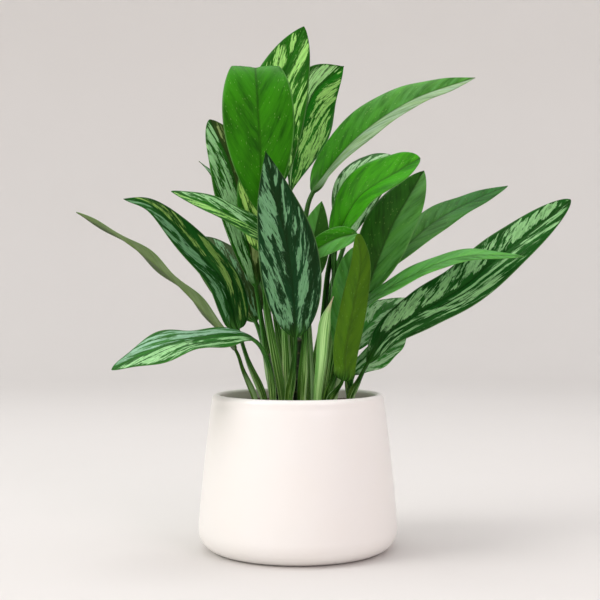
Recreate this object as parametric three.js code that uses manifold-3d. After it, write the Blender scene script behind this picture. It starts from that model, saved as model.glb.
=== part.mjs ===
// Potted Chinese evergreen: a white ceramic pot, potting soil, short canes and a clump of leaves.
// Millimetres, +Z up. The origin is the middle of the pot's foot, on the surface it stands on. +X is to
// the right and +Y is away from someone who looks at the front.
import * as THREE from "three";
import { mergeVertices } from "three/addons/utils/BufferGeometryUtils.js";
import Module from "manifold-3d";

const wasm = await Module();
wasm.setup();

// ---- Driving dimensions ----

const POT = {
  height: 132,
  bellyRadius: 85, // widest, just above the rounded heel
  heelHeight: 18, // height of the rounded heel
  footRadius: 68, // where the heel meets the table: the foot is flat inside it
  rimRadius: 73.5,
  taper: 1.22, // power of the side's gentle curve from belly to rim
  wall: 6.5,
  lipOuter: 4, // rounding of the lip outside
  lipInner: 2.5, // and inside
  floor: 8,
  sides: 48,
};
const SOIL = {
  top: 123, // mean level of the surface
  bump: 1.6, // how far the surface rises and falls
  clearance: 0.6, // to the pot and round each stem
  sunk: 12, // how deep the stems stand in it
  rings: 5,
};
const CANE = { baseRadius: 4.6, topRadius: 3.4, sides: 10, rings: 12, nodeSpacing: 11, nodeSwell: 0.35 };
const PETIOLE = {
  // half widths at shares of the way up: at the soil, at the winged sheath, above it, at the neck
  shares: [0, 0.22, 0.6, 1],
  radii: [3.4, 4.0, 2.2, 1.6],
  flatness: 0.85, // thickness over width
  stationSpacing: 20,
};
const BLADE = {
  halfThickness: 0.45,
  edgeHalfThickness: 0.35,
  ribDepth: 1.5, // the midrib stands this far out below, at the neck
  neckBlend: 0.1, // share of the blade over which the stalk flattens into it
  stations: 14,
  tipHalfWidth: 0.35,
  curl: 0.12, // how far the margins turn back down, as a share of the half width
};
const ACROSS = [-1, -0.5, 0, 0.5, 1]; // places across a blade, from its left margin to its right

const COLOURS = {
  ceramic: { color: "#f3f1ee", roughness: 0.35 },
  soil: { color: "#3b2a1f", roughness: 0.95 },
  cane: { color: "#4f6b34", roughness: 0.6 },
  variegated: { color: "#4f8a55", roughness: 0.45 },
  plain: { color: "#3f8a1e", roughness: 0.45 },
  spear: { color: "#a9cf86", roughness: 0.5 },
};

// ---- Leaves ----
// foot: where the stalk stands in the soil, x and y.
// stalk: points that it passes on the way up.
// neck: where the blade begins. blade: points along its midrib. tip: its end.
// width: across the blade, laid flat.
// outline: the powers of its rise from the neck and of its fall to the tip.
// stalkSize: how thick its stalk is beside the usual one.
// face: the way its upper side looks, at the neck and on towards the tip.
// fold: how far each half rises from the midrib, in degrees.
// wave: height in mm, number of waves and starting angle of each margin's waves.
const LEAVES = [
  {
    name: "leaf_tall_back", look: "variegated", foot: [-8, 9],
    stalk: [[-9, 20, 240]], neck: [-19, 26, 310],
    blade: [[-22.5, 39, 363], [-15, 48, 406]], tip: [5.3, 57, 460],
    width: 57, outline: [0.7, 0.8], face: [[-0.1, -0.95, 0.2]], fold: 12, wave: [1, 2, 0],
  },
  {
    name: "leaf_back_right", look: "variegated", foot: [3, 14],
    stalk: [[1, 28, 238]], neck: [-7, 50, 306], blade: [[3, 75, 369], [16, 89, 407]], tip: [43, 101, 433],
    width: 65, outline: [1.35, 1.05], face: [[0.78, -0.6, 0.2]], fold: 20, wave: [1, 2, 1],
  },
  {
    name: "leaf_broad", look: "plain", foot: [-13, -12],
    stalk: [[-27, -12, 212]], neck: [-30, -17, 281],
    blade: [[-31.5, -26, 340], [-34.3, -27, 385.5], [-36, -12, 408.5]],
    tip: [-36, 9, 393.5],
    width: 61, outline: [0.95, 0.82], face: [[0, -1, 0.1], [0, -1, 0.1], [0, 0.2, 1]],
    fold: 12, wave: [0.5, 2, 0],
  },
  {
    name: "leaf_arching_right", look: "plain", foot: [10, -10],
    stalk: [[7, 4, 212], [7, 14, 286]], neck: [13, 18, 306],
    blade: [[47.5, 24, 350.5], [98.5, 32, 387.5]], tip: [158.5, 44, 411],
    width: 50, outline: [0.6, 0.92], face: [[-0.53, -0.55, 0.62], [-0.35, -0.75, 0.55]],
    fold: 24, wave: [1, 2, 0],
  },
  {
    name: "leaf_left_back", look: "variegated", foot: [-21, 9],
    stalk: [[-29, 8, 176]], neck: [-36, 8, 222],
    blade: [[-51, 19, 297], [-60.5, 28, 333]], tip: [-79, 40, 373],
    width: 50, outline: [0.8, 0.7], face: [[0.35, -0.9, 0.2]], fold: 22, wave: [1, 2, 2],
  },
  {
    name: "leaf_left_small", look: "variegated", foot: [-8, -5],
    stalk: [[-13, -12, 212]], neck: [-18, -30, 256], blade: [[-60, -46, 283.5]], tip: [-102, -60, 299.5],
    width: 43, outline: [0.5, 0.75], face: [[-0.2, -0.5, 0.84]], fold: 12, wave: [0.8, 2, 0],
  },
  {
    name: "leaf_left_arching", look: "variegated", foot: [-29, -3],
    stalk: [[-43, -4, 161]], neck: [-51, -6, 187],
    blade: [[-62, -12, 226], [-88, -18, 256.5], [-122.5, -26, 290.5]],
    tip: [-145, -30, 296],
    stalkSize: 0.75, width: 32, outline: [0.34, 0.8], face: [[0.3, -0.85, 0.35]], fold: 14,
    wave: [1, 2, 1],
  },
  {
    name: "leaf_far_left", look: "plain", foot: [-37, 4],
    stalk: [[-47.5, 6, 152]], neck: [-54, 8, 169],
    blade: [[-104, 7, 226], [-149.5, 2, 263.3]], tip: [-189.5, -4, 287],
    stalkSize: 0.7, width: 38, outline: [0.32, 0.62], face: [[0.5, 0.25, 0.8]], fold: 12,
    wave: [2.6, 3, 0.9],
  },
  {
    name: "leaf_low_left", look: "variegated", foot: [-21, -16],
    stalk: [[-26, -18, 161]], neck: [-38, -18.5, 179],
    blade: [[-88, -45, 179], [-119, -60, 170]], tip: [-148, -72, 156.5],
    stalkSize: 0.8, width: 48.5, outline: [0.7, 0.75], face: [[-0.1, -0.45, 0.9]], fold: 8,
    wave: [2.5, 2, 0.3],
  },
  {
    name: "leaf_front", look: "variegated", foot: [-8, -23],
    stalk: [[-4, -28, 154]], neck: [-2, -34, 181],
    blade: [[-7.5, -50, 249], [-18, -56, 295]], tip: [-26, -58, 332],
    width: 51, outline: [0.62, 1.0], face: [[-0.05, -1, 0.15]], fold: 13, wave: [1, 2, 0],
  },
  {
    name: "leaf_bright_right", look: "plain", foot: [14, -2],
    stalk: [[20.5, -3.5, 182], [26, -5, 238]], neck: [31, -6, 258],
    blade: [[51, -15, 298], [84, -27, 319.5]], tip: [101.5, -32, 329.8],
    width: 51, outline: [0.62, 0.55], face: [[-0.55, -0.6, 0.6], [-0.4, -0.7, 0.6]],
    fold: 20, wave: [1, 2, 0],
  },
  {
    name: "leaf_behind_right", look: "variegated", foot: [12, 15],
    stalk: [[26, 18, 211]], neck: [42, 28, 265],
    blade: [[57, 59, 315.5], [77, 80, 336]], tip: [99.5, 96, 342.5],
    width: 50, outline: [0.8, 0.75], face: [[-0.3, -0.85, 0.4]], fold: 12, wave: [1, 2, 0],
  },
  {
    name: "leaf_two_tone", look: "plain", foot: [27, 2],
    stalk: [[45, 4, 190]], neck: [57.5, 9, 216], blade: [[82, 28, 275], [99, 42, 304]], tip: [114, 56, 329],
    width: 50.5, outline: [0.68, 0.85], face: [[-0.3, -0.93, 0.1]], fold: 26, wave: [0.5, 2, 0],
  },
  {
    name: "leaf_pointing_right", look: "plain", foot: [30, 16],
    stalk: [[33, 21, 180], [47, 24, 211]], neck: [75, 24, 239],
    blade: [[120, 48, 280], [159, 66, 302]], tip: [195, 84, 318],
    width: 36, outline: [0.62, 0.85], face: [[-0.35, -0.65, 0.65]], fold: 14, wave: [0.5, 2, 0],
  },
  {
    name: "leaf_thin_right", look: "plain", foot: [30, -8],
    stalk: [[40, -12, 172]], neck: [52, -14, 203],
    blade: [[97.5, -32, 233.5], [134, -46, 247]], tip: [182, -64, 247],
    stalkSize: 0.85, width: 34, outline: [0.45, 0.9], face: [[-0.4, -0.35, 0.85]], fold: 12,
    wave: [1, 3, 0],
  },
  {
    name: "leaf_long_right", look: "variegated", foot: [44, -3],
    stalk: [[51, -6, 142]], neck: [59, -10, 158],
    blade: [[76, -14, 183.5], [106, -20, 204], [135, -26, 221], [177, -35, 256]],
    tip: [223, -46, 294],
    stalkSize: 0.8, width: 41.5, outline: [0.65, 0.61], face: [[-0.15, -0.9, 0.4]], fold: 14,
    wave: [0.8, 3, 0],
  },
  {
    name: "leaf_low_back_right", look: "variegated", foot: [46, 18],
    stalk: [[43.5, 14, 150]], neck: [46, 7, 168], blade: [[70, 32, 197.5]], tip: [105, 66, 213],
    width: 42, outline: [0.62, 0.8], face: [[-0.2, -0.7, 0.65]], fold: 10, wave: [2, 2, 0],
  },
  {
    name: "leaf_low_right", look: "variegated", foot: [45, 8],
    stalk: [], neck: [48, 4, 148], blade: [[70, 12, 164]], tip: [95, 26, 179.5],
    stalkSize: 0.75, width: 28, outline: [0.62, 0.8], face: [[-0.3, -0.7, 0.6]], fold: 10,
    wave: [1.5, 2, 0],
  },
  {
    name: "leaf_olive", look: "plain", foot: [26, -24],
    stalk: [], neck: [37, -38, 146],
    blade: [[39, -41, 171], [46, -46, 211], [51, -50, 243]], tip: [49, -52, 266],
    stalkSize: 0.8, width: 28, outline: [0.3, 0.5], face: [[0.1, 0.99, 0]], fold: 36, wave: [0.5, 2, 0],
  },
  {
    name: "leaf_behind_olive", look: "plain", foot: [24, -14],
    stalk: [], neck: [35.5, -19, 162], blade: [[40, -19, 212], [44, -18, 241]], tip: [49, -15, 257],
    width: 26, outline: [0.6, 0.6], face: [[-0.2, -0.95, 0.1]], fold: 14, wave: [0.5, 2, 0],
  },
  {
    name: "leaf_small_centre", look: "plain", foot: [3, -16],
    stalk: [[6, -15, 180]], neck: [8, -14, 225], blade: [[14, -18, 267]], tip: [20, -20, 295],
    width: 30, outline: [0.62, 0.9], face: [[0.3, 0.9, 0]], fold: 10, wave: [0.5, 2, 0],
  },
  {
    name: "leaf_small_forward", look: "plain", foot: [21.5, -6],
    stalk: [[30, 1, 190], [31, -2, 232], [32, -18, 255]], neck: [48, -38, 266],
    blade: [[31, -42, 262]], tip: [0, -41, 244],
    width: 22, outline: [0.5, 0.8], face: [[0.2, -0.8, 0.55]], fold: 10, wave: [0.5, 2, 0],
  },
  {
    name: "leaf_brown_left", look: "variegated", foot: [-17, 18.5],
    stalk: [[-28, 16, 165]], neck: [-37, 16, 193],
    blade: [[-56, 32, 224], [-73, 52, 249]], tip: [-90, 72, 270],
    width: 48, outline: [0.62, 0.65], face: [[0.1, -0.8, 0.6]], fold: 12, wave: [1, 2, 0],
  },
  {
    name: "leaf_far_back_left", look: "variegated", foot: [-19, 28],
    stalk: [[-27, 40, 194]], neck: [-41, 63, 255],
    blade: [[-54, 85, 291], [-69, 115, 321]], tip: [-98, 150, 349],
    width: 26, outline: [0.62, 1.3], face: [[0.3, -0.6, 0.7]], fold: 12, wave: [1, 2, 0],
  },
  {
    name: "leaf_behind_broad", look: "variegated", foot: [-8, 27],
    stalk: [[-20, 10, 200]], neck: [-29, -2, 252], blade: [[-34, -4, 297]], tip: [-41, -4, 340],
    width: 38, outline: [0.62, 0.8], face: [[0, -1, 0.1]], fold: 10, wave: [1, 2, 0],
  },
  {
    name: "leaf_back_far_right", look: "variegated", foot: [24, 24],
    stalk: [[34, 34, 185]], neck: [51, 46, 221], blade: [[84, 88, 273]], tip: [105, 140, 310],
    width: 42, outline: [0.62, 0.9], face: [[-0.2, -0.7, 0.7]], fold: 12, wave: [1.5, 2, 0],
  },
];

const CANES = [
  { name: "cane_left", foot: [-17, -2], top: [-22, 1, 168] },
  { name: "cane_centre", foot: [0, 3], top: [0, 6, 180] },
  { name: "cane_right", foot: [20, 8], top: [27, 10, 160] },
];

const SPEAR = {
  foot: [16, -19],
  path: [[19.5, -23, 160], [23.4, -27, 197]],
  tip: [29.5, -29, 215],
  width: 11,
  widest: 0.74, // share of its length
};

// ---- Small tools ----

function material(slot) {
  return new THREE.MeshStandardMaterial({ name: slot, metalness: 0, ...COLOURS[slot] });
}

function named(name, geometry, slot) {
  const mesh = new THREE.Mesh(geometry, material(slot));
  mesh.name = name;
  return mesh;
}

function blend(a, b, share) {
  return a + (b - a) * share;
}

function smooth(share) {
  const s = Math.min(1, Math.max(0, share));
  return s * s * (3 - 2 * s);
}

// A quarter of an ellipse as profile points, from one angle to another, in degrees.
function arc(centreR, centreZ, radiusR, radiusZ, fromDeg, toDeg, steps) {
  return Array.from({ length: steps + 1 }, (_, i) => {
    const angle = THREE.MathUtils.degToRad(blend(fromDeg, toDeg, i / steps));
    return new THREE.Vector2(centreR + radiusR * Math.cos(angle), centreZ + radiusZ * Math.sin(angle));
  });
}

// LatheGeometry turns about Y: this stands it up on Z.
function turned(profile, sides) {
  return new THREE.LatheGeometry(profile, sides).rotateX(Math.PI / 2);
}

function solidOf(geometry) {
  const bare = geometry.clone();
  bare.deleteAttribute("normal");
  bare.deleteAttribute("uv");
  const merged = mergeVertices(bare, 1e-3);
  return new wasm.Manifold(
    new wasm.Mesh({
      numProp: 3,
      vertProperties: merged.attributes.position.array,
      triVerts: new Uint32Array(merged.index.array),
    }),
  );
}

function geometryOf(solid) {
  const { vertProperties, triVerts } = solid.getMesh();
  const geometry = new THREE.BufferGeometry();
  geometry.setAttribute("position", new THREE.BufferAttribute(vertProperties, 3));
  geometry.setIndex(new THREE.BufferAttribute(triVerts, 1));
  geometry.computeVertexNormals();
  return geometry;
}

// A closed tube from rings of points that all hold the same number. Both faces of a flat tube are split
// alike: the far half of each ring takes the other diagonal.
function loft(rings) {
  const count = rings[0].length;
  const positions = rings.flat().flatMap((p) => [p.x, p.y, p.z]);
  const triangles = [];
  for (let r = 0; r + 1 < rings.length; r++) {
    for (let i = 0; i < count; i++) {
      const a = r * count + i;
      const b = r * count + ((i + 1) % count);
      const c = a + count;
      const d = b + count;
      if (i < count / 2) triangles.push(a, b, d, a, d, c);
      else triangles.push(a, b, c, b, d, c);
    }
  }
  const last = (rings.length - 1) * count;
  for (let i = 1; i + 1 < count; i++) {
    triangles.push(0, i + 1, i);
    triangles.push(last, last + i, last + i + 1);
  }
  const geometry = new THREE.BufferGeometry();
  geometry.setAttribute("position", new THREE.Float32BufferAttribute(positions, 3));
  geometry.setIndex(triangles);
  geometry.computeVertexNormals();
  return geometry;
}

// ---- Pot and soil ----

function potOuterRadius(z) {
  const share = Math.max(0, (z - POT.heelHeight) / (POT.height - POT.lipOuter - POT.heelHeight));
  return POT.bellyRadius - (POT.bellyRadius - POT.rimRadius) * share ** POT.taper;
}

function potInnerRadius(z) {
  return potOuterRadius(Math.max(z, POT.heelHeight)) - POT.wall;
}

function heights(from, to, steps) {
  return Array.from({ length: steps }, (_, i) => blend(from, to, (i + 1) / (steps + 1)));
}

function potGeometry() {
  const lipZ = POT.height - POT.lipOuter;
  const innerLipZ = POT.height - POT.lipInner;
  const innerHeel = POT.heelHeight - POT.wall + 4;
  const floorEdge = potInnerRadius(0) - innerHeel;
  const profile = [
    new THREE.Vector2(0, 0),
    ...arc(POT.footRadius, POT.heelHeight, POT.bellyRadius - POT.footRadius, POT.heelHeight, -90, 0, 5),
    ...heights(POT.heelHeight, lipZ, 4).map((z) => new THREE.Vector2(potOuterRadius(z), z)),
    ...arc(POT.rimRadius - POT.lipOuter, lipZ, POT.lipOuter, POT.lipOuter, 0, 90, 3),
    ...arc(POT.rimRadius - POT.wall + POT.lipInner, innerLipZ, POT.lipInner, POT.lipInner, 90, 180, 2),
    ...heights(lipZ, POT.floor + innerHeel, 2).map((z) => new THREE.Vector2(potInnerRadius(z), z)),
    ...arc(floorEdge, POT.floor + innerHeel, innerHeel, innerHeel, 0, -90, 3),
    new THREE.Vector2(0, POT.floor),
  ];
  return turned(profile, POT.sides);
}

// The soil's surface: a few crossing ripples, flat at the pot's wall.
function soilHeight(x, y) {
  const ripple = Math.sin(x * 0.13 + 1) * Math.cos(y * 0.11) + 0.6 * Math.sin(x * 0.07 - y * 0.17 + 2);
  const reach = Math.hypot(x, y) / potInnerRadius(SOIL.top);
  return SOIL.top + SOIL.bump * ripple * (1 - reach ** 4);
}

function soilGeometry(feet) {
  const gap = SOIL.clearance;
  const innerHeel = POT.heelHeight - POT.wall + 4;
  const bottom = POT.floor + gap;
  const side = [innerHeel + 8, 50, 80, 105].map((z) => new THREE.Vector2(potInnerRadius(z) - gap, z));
  const edge = potInnerRadius(SOIL.top) - gap;
  const topRings = [];
  for (let i = SOIL.rings; i > 0; i--) topRings.push(new THREE.Vector2((edge * i) / SOIL.rings, SOIL.top));
  const profile = [
    new THREE.Vector2(0, bottom),
    new THREE.Vector2(potInnerRadius(0) - innerHeel - gap, bottom),
    ...side,
    ...topRings,
    new THREE.Vector2(0, SOIL.top),
  ];
  const geometry = turned(profile, 24);
  const place = geometry.attributes.position;
  for (let i = 0; i < place.count; i++) {
    if (place.getZ(i) > SOIL.top - 1) place.setZ(i, soilHeight(place.getX(i), place.getY(i)));
  }
  let soil = solidOf(geometry);
  for (const { x, y, radius } of feet) {
    const depth = SOIL.sunk + gap + 3 * SOIL.bump;
    const corner = (radius + gap) / Math.cos(Math.PI / 8);
    const hole = new THREE.CylinderGeometry(corner, corner, depth, 8);
    hole.rotateX(Math.PI / 2).translate(x, y, SOIL.top - SOIL.sunk - gap + depth / 2);
    soil = soil.subtract(solidOf(hole));
  }
  return geometryOf(soil);
}

// ---- Canes, leaves and the rolled new leaf ----

// The frame of a tube at one place: its middle, which way it runs, its side and its upper side.
function frameAt(route, share, facing) {
  const along = route.getTangentAt(share);
  const up = facing.clone().addScaledVector(along, -facing.dot(along)).normalize();
  return { middle: route.getPointAt(share), along, up, side: along.clone().cross(up) };
}

function roundRing({ middle, side, up }, halfWidth, halfDepth, count) {
  return Array.from({ length: count }, (_, i) => {
    const angle = Math.PI - ((i + 0.5) * 2 * Math.PI) / count;
    return middle
      .clone()
      .addScaledVector(side, halfWidth * Math.cos(angle))
      .addScaledVector(up, halfDepth * Math.sin(angle));
  });
}

function caneGeometry({ foot: [x, y], top }) {
  const route = new THREE.CatmullRomCurve3([
    new THREE.Vector3(x, y, SOIL.top - SOIL.sunk),
    new THREE.Vector3(x, y, SOIL.top + 6),
    new THREE.Vector3(...top),
  ]);
  const length = route.getLength();
  const rings = [];
  for (let i = 0; i <= CANE.rings; i++) {
    const share = i / CANE.rings;
    const swell = CANE.nodeSwell * Math.cos((2 * Math.PI * share * length) / CANE.nodeSpacing);
    const radius = blend(CANE.baseRadius, CANE.topRadius, share) + swell;
    rings.push(roundRing(frameAt(route, share, new THREE.Vector3(0, -1, 0)), radius, radius, CANE.sides));
  }
  return loft(rings);
}

// How far out the outline is, as a share of its widest, at a share of the way from neck to tip.
function outline([rise, fall], share) {
  const widest = rise / (rise + fall);
  return (share / widest) ** rise * ((1 - share) / (1 - widest)) ** fall;
}

function petioleRadius(leaf, share) {
  const { shares, radii } = PETIOLE;
  const size = leaf.stalkSize ?? 1;
  if (share <= 0) return size * radii[0];
  const next = shares.findIndex((place) => place >= share);
  const part = (share - shares[next - 1]) / (shares[next] - shares[next - 1]);
  return size * blend(radii[next - 1], radii[next], part);
}

// The way the upper side looks, at a share of the way from neck to tip.
function facingAt(leaf, share) {
  const faces = leaf.face.map((f) => new THREE.Vector3(...f).normalize());
  const place = share * (faces.length - 1);
  const first = Math.min(Math.floor(place), faces.length - 1);
  const next = Math.min(first + 1, faces.length - 1);
  return faces[first].clone().lerp(faces[next], place - first);
}

function leafRing(leaf, frame, share, stalkRadius) {
  const round = 1 - smooth(share / BLADE.neckBlend);
  const least = blend(BLADE.tipHalfWidth, stalkRadius, round);
  const halfWidth = Math.max((leaf.width / 2) * outline(leaf.outline, share), least);
  const fold = THREE.MathUtils.degToRad(leaf.fold) * (1 - round);
  const [waveHeight, waves, start] = leaf.wave;
  const swing = waveHeight * Math.min(1, 4 * share * (1 - share)) * (1 - round);
  const depth = stalkRadius * PETIOLE.flatness * round;
  const rib = BLADE.ribDepth * (1 - share) * (1 - round);
  const at = (across, offset) => {
    const reach = Math.abs(across);
    const lift =
      halfWidth * (Math.sin(fold) * reach - BLADE.curl * (1 - round) * across * across) +
      swing * across * across * Math.sin(2 * Math.PI * waves * share + start + (across < 0 ? 1.7 : 0));
    return frame.middle
      .clone()
      .addScaledVector(frame.side, halfWidth * across * Math.cos(fold))
      .addScaledVector(frame.up, lift + offset);
  };
  const thickness = (across) => {
    const reach = Math.abs(across);
    const thin = blend(BLADE.halfThickness, BLADE.edgeHalfThickness, reach);
    return thin + depth * (reach === 1 ? 0.35 : reach === 0.5 ? 0.85 : 1);
  };
  const top = ACROSS.map((across) => at(across, thickness(across)));
  const below = (across) => at(across, -thickness(across) - (across === 0 ? rib : 0));
  const bottom = [...ACROSS].reverse().map(below);
  return [...top, ...bottom];
}

function leafGeometry(leaf) {
  const [x, y] = leaf.foot;
  const stalk = [[x, y, SOIL.top - SOIL.sunk], [x, y, SOIL.top + 4], ...leaf.stalk, leaf.neck];
  const points = [...stalk, ...leaf.blade, leaf.tip].map((p) => new THREE.Vector3(...p));
  const route = new THREE.CatmullRomCurve3(points, false, "centripetal");
  route.arcLengthDivisions = 100 * (points.length - 1);
  const lengths = route.getLengths();
  const total = lengths[lengths.length - 1];
  const soilAt = lengths[100] / total;
  const neckAt = lengths[100 * (stalk.length - 1)] / total;
  const steps = Math.max(3, Math.round(((neckAt - soilAt) * total) / PETIOLE.stationSpacing));
  const rings = [];
  for (let i = -1; i < steps; i++) {
    const share = i < 0 ? 0 : blend(soilAt, neckAt, i / steps);
    rings.push(leafRing(leaf, frameAt(route, share, facingAt(leaf, 0)), 0, petioleRadius(leaf, i / steps)));
  }
  for (let i = 0; i <= BLADE.stations; i++) {
    const even = i / BLADE.stations;
    const share = blend(even, (1 - Math.cos(Math.PI * even)) / 2, 0.5);
    const frame = frameAt(route, blend(neckAt, 1, share), facingAt(leaf, share));
    rings.push(leafRing(leaf, frame, share, petioleRadius(leaf, 1)));
  }
  return loft(rings);
}

function spearGeometry() {
  const [x, y] = SPEAR.foot;
  const points = [[x, y, SOIL.top - SOIL.sunk], [x, y, SOIL.top + 4], ...SPEAR.path, SPEAR.tip];
  const route = new THREE.CatmullRomCurve3(points.map((p) => new THREE.Vector3(...p)), false, "centripetal");
  const rings = [];
  for (let i = 0; i <= 12; i++) {
    const share = i / 12;
    const swelling = blend(0.6, 1, smooth(share / SPEAR.widest));
    const tapering = 1 - smooth((share - SPEAR.widest) / (1 - SPEAR.widest)) * 0.93;
    const body = SPEAR.width * (share < SPEAR.widest ? swelling : tapering);
    rings.push(roundRing(frameAt(route, share, new THREE.Vector3(0, -1, 0)), body / 2, body * 0.4, 10));
  }
  return loft(rings);
}

// ---- Assembly ----

const plant = new THREE.Group();
const stems = [
  ...LEAVES.map((leaf) => ({ x: leaf.foot[0], y: leaf.foot[1], radius: petioleRadius(leaf, 0) })),
  ...CANES.map((cane) => ({ x: cane.foot[0], y: cane.foot[1], radius: CANE.baseRadius + CANE.nodeSwell })),
  { x: SPEAR.foot[0], y: SPEAR.foot[1], radius: SPEAR.width * 0.4 },
];
plant.add(named("pot", potGeometry(), "ceramic"));
plant.add(named("soil", soilGeometry(stems), "soil"));
for (const cane of CANES) plant.add(named(cane.name, caneGeometry(cane), "cane"));
for (const leaf of LEAVES) plant.add(named(leaf.name, leafGeometry(leaf), leaf.look));
plant.add(named("new_leaf", spearGeometry(), "spear"));

export default plant;
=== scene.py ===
"""The looks of a potted Chinese evergreen: a satin glazed pot, potting soil, canes, long-stalked
leaves and a rolled new leaf.

Lengths in the tables and in the functions that shape the pieces are millimetres, as in the part's own
source. Blender's are metres. +Z is up, +X is to the right and +Y is away from someone who looks at the
front.
"""

import math

import bmesh
import bpy
import numpy as np
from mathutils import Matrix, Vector, noise


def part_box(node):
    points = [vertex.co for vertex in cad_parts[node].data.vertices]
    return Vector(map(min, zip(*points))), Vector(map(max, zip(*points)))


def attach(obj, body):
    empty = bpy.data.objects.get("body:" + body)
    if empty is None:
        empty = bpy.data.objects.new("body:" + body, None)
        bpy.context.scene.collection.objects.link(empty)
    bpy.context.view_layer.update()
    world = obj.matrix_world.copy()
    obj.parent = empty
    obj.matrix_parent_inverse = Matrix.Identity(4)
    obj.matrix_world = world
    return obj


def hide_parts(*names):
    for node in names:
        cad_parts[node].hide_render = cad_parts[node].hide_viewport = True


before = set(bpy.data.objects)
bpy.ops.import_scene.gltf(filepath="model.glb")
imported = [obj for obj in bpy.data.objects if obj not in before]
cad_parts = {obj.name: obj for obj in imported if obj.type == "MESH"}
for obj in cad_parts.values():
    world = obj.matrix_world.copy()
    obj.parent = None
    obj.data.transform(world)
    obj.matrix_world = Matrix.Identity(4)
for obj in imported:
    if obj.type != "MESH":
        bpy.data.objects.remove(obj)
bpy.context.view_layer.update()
POT_LOW, POT_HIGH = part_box("pot")

bl_info = {
    "name": "Potted Chinese evergreen",
    "version": (1, 0, 0),
    "blender": (4, 5, 0),
    "location": "3D View > Sidebar > Evergreen",
    "description": "Builds a potted Chinese evergreen round its packed solids",
    "category": "Object",
}

MM = 0.001

# ---- The plant, as in the part's source ----

SOIL_TOP = 123
SOIL_SUNK = 12
SOIL_CLEARANCE = 0.6
SOIL_BUMP = 1.6
SOIL_LEVELS = (100, 75, 50)  # where its side follows the pot's
POT_HEEL = 18
POT_FOOT_RADIUS = 68
POT_RIM_RADIUS = 73.5
POT_TAPER = 1.22
POT_FLOOR = 8
LIP_OUTER = 4
LIP_INNER = 2.5
INNER_HEEL_MORE = 4  # how much rounder the inner heel is than the outer one less the wall
CREASE_DOWN = 7.5  # from the lip to the crease under it
CREASE_REACH = 1.6
STEM_STRAIGHT = 4  # how far a stalk rises from the soil's level before it bends
STALK_STEP = 4  # between stations along a stalk
PETIOLE_SHARES = (0, 0.22, 0.6, 1)  # shares of the way from soil to neck
PETIOLE_RADII = (3.4, 4.0, 2.2, 1.6)
FEWEST_ON_STALK = 8  # stations
FEWEST_ON_BLADE = 24
ENDS_CLOSER = 0.5  # how much closer together a blade's stations are at its ends: 0 is evenly spaced
NECK_BLEND = 0.1  # share of the blade over which the stalk turns into it
TIP_HALF_WIDTH = 0.35
CURL = 0.12  # how far the margins curl down, as a share of half the width
HALVES_APART = 1.7  # how far the waves of one margin run before those of the other, in radians
MIDRIB_BEND = 0.03  # how soft the fold at the midrib is, as a share of half the width
PLAIN_SLANTS = (1.3, 1.3)
GROOVE_REACH = 1.3
RIB_REACH = 1.5
VEIN_BEND = 0.3  # how much further on a side vein runs at the margin
SWELL_FROM = 0.15  # the blade's swelling grows from the midrib to here, and
SWELL_TO = 0.75  # falls away from here to the margin
SLOW_HEIGHT = 0.5  # of a slow rise and fall across the veins
SLOW_LENGTH = 6  # over which its phase goes on by one radian
SLOW_APART = 2  # radians between the two halves'
STALK_DEPTH = 0.95  # beside its width
CHANNEL_SHARE = 0.45  # width of the stalk's channel, as a share of the stalk's
CHANNEL_DEPTH = 0.28
SHEATH_DEPTH = 0.3  # how much deeper the channel is at the stalk's foot
STALK_REACH = 3  # millimetres of the skin's pattern from a stalk's middle to its side

# The level of paleness: half of a blade is pale at HALF_COVER. COVER_SPREAD is how far the level follows
# the cover, and CLEAR_SIDES and CLEAR_ENDS how far it falls at the midrib and margin and at the ends.
HALF_COVER = 0.29
COVER_SPREAD = 0.42
CLEAR_SIDES = 0.22
CLEAR_ENDS = 0.2

CLEAR_BAND = 0.22  # how wide the clear bands are, as a share of half the width
CLEAR_FOOT = 0.06  # and how long at each end, as a share of the blade
CLEAR_TIP = 0.07

HALF_BLEND = 0.08  # where the colours of a leaf's two halves meet
# The far ground paints a change of light towards the tip: sheen on one leaf, shade on another.
FAR_FROM = 0.25  # where the ground starts to turn to the far ground
FAR_BLEND = 0.5
SEED_STEP = 7.3  # between one leaf's patterns and the next one's
HALF_SEED_STEP = 31.7  # between the patterns of a leaf's two halves
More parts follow.
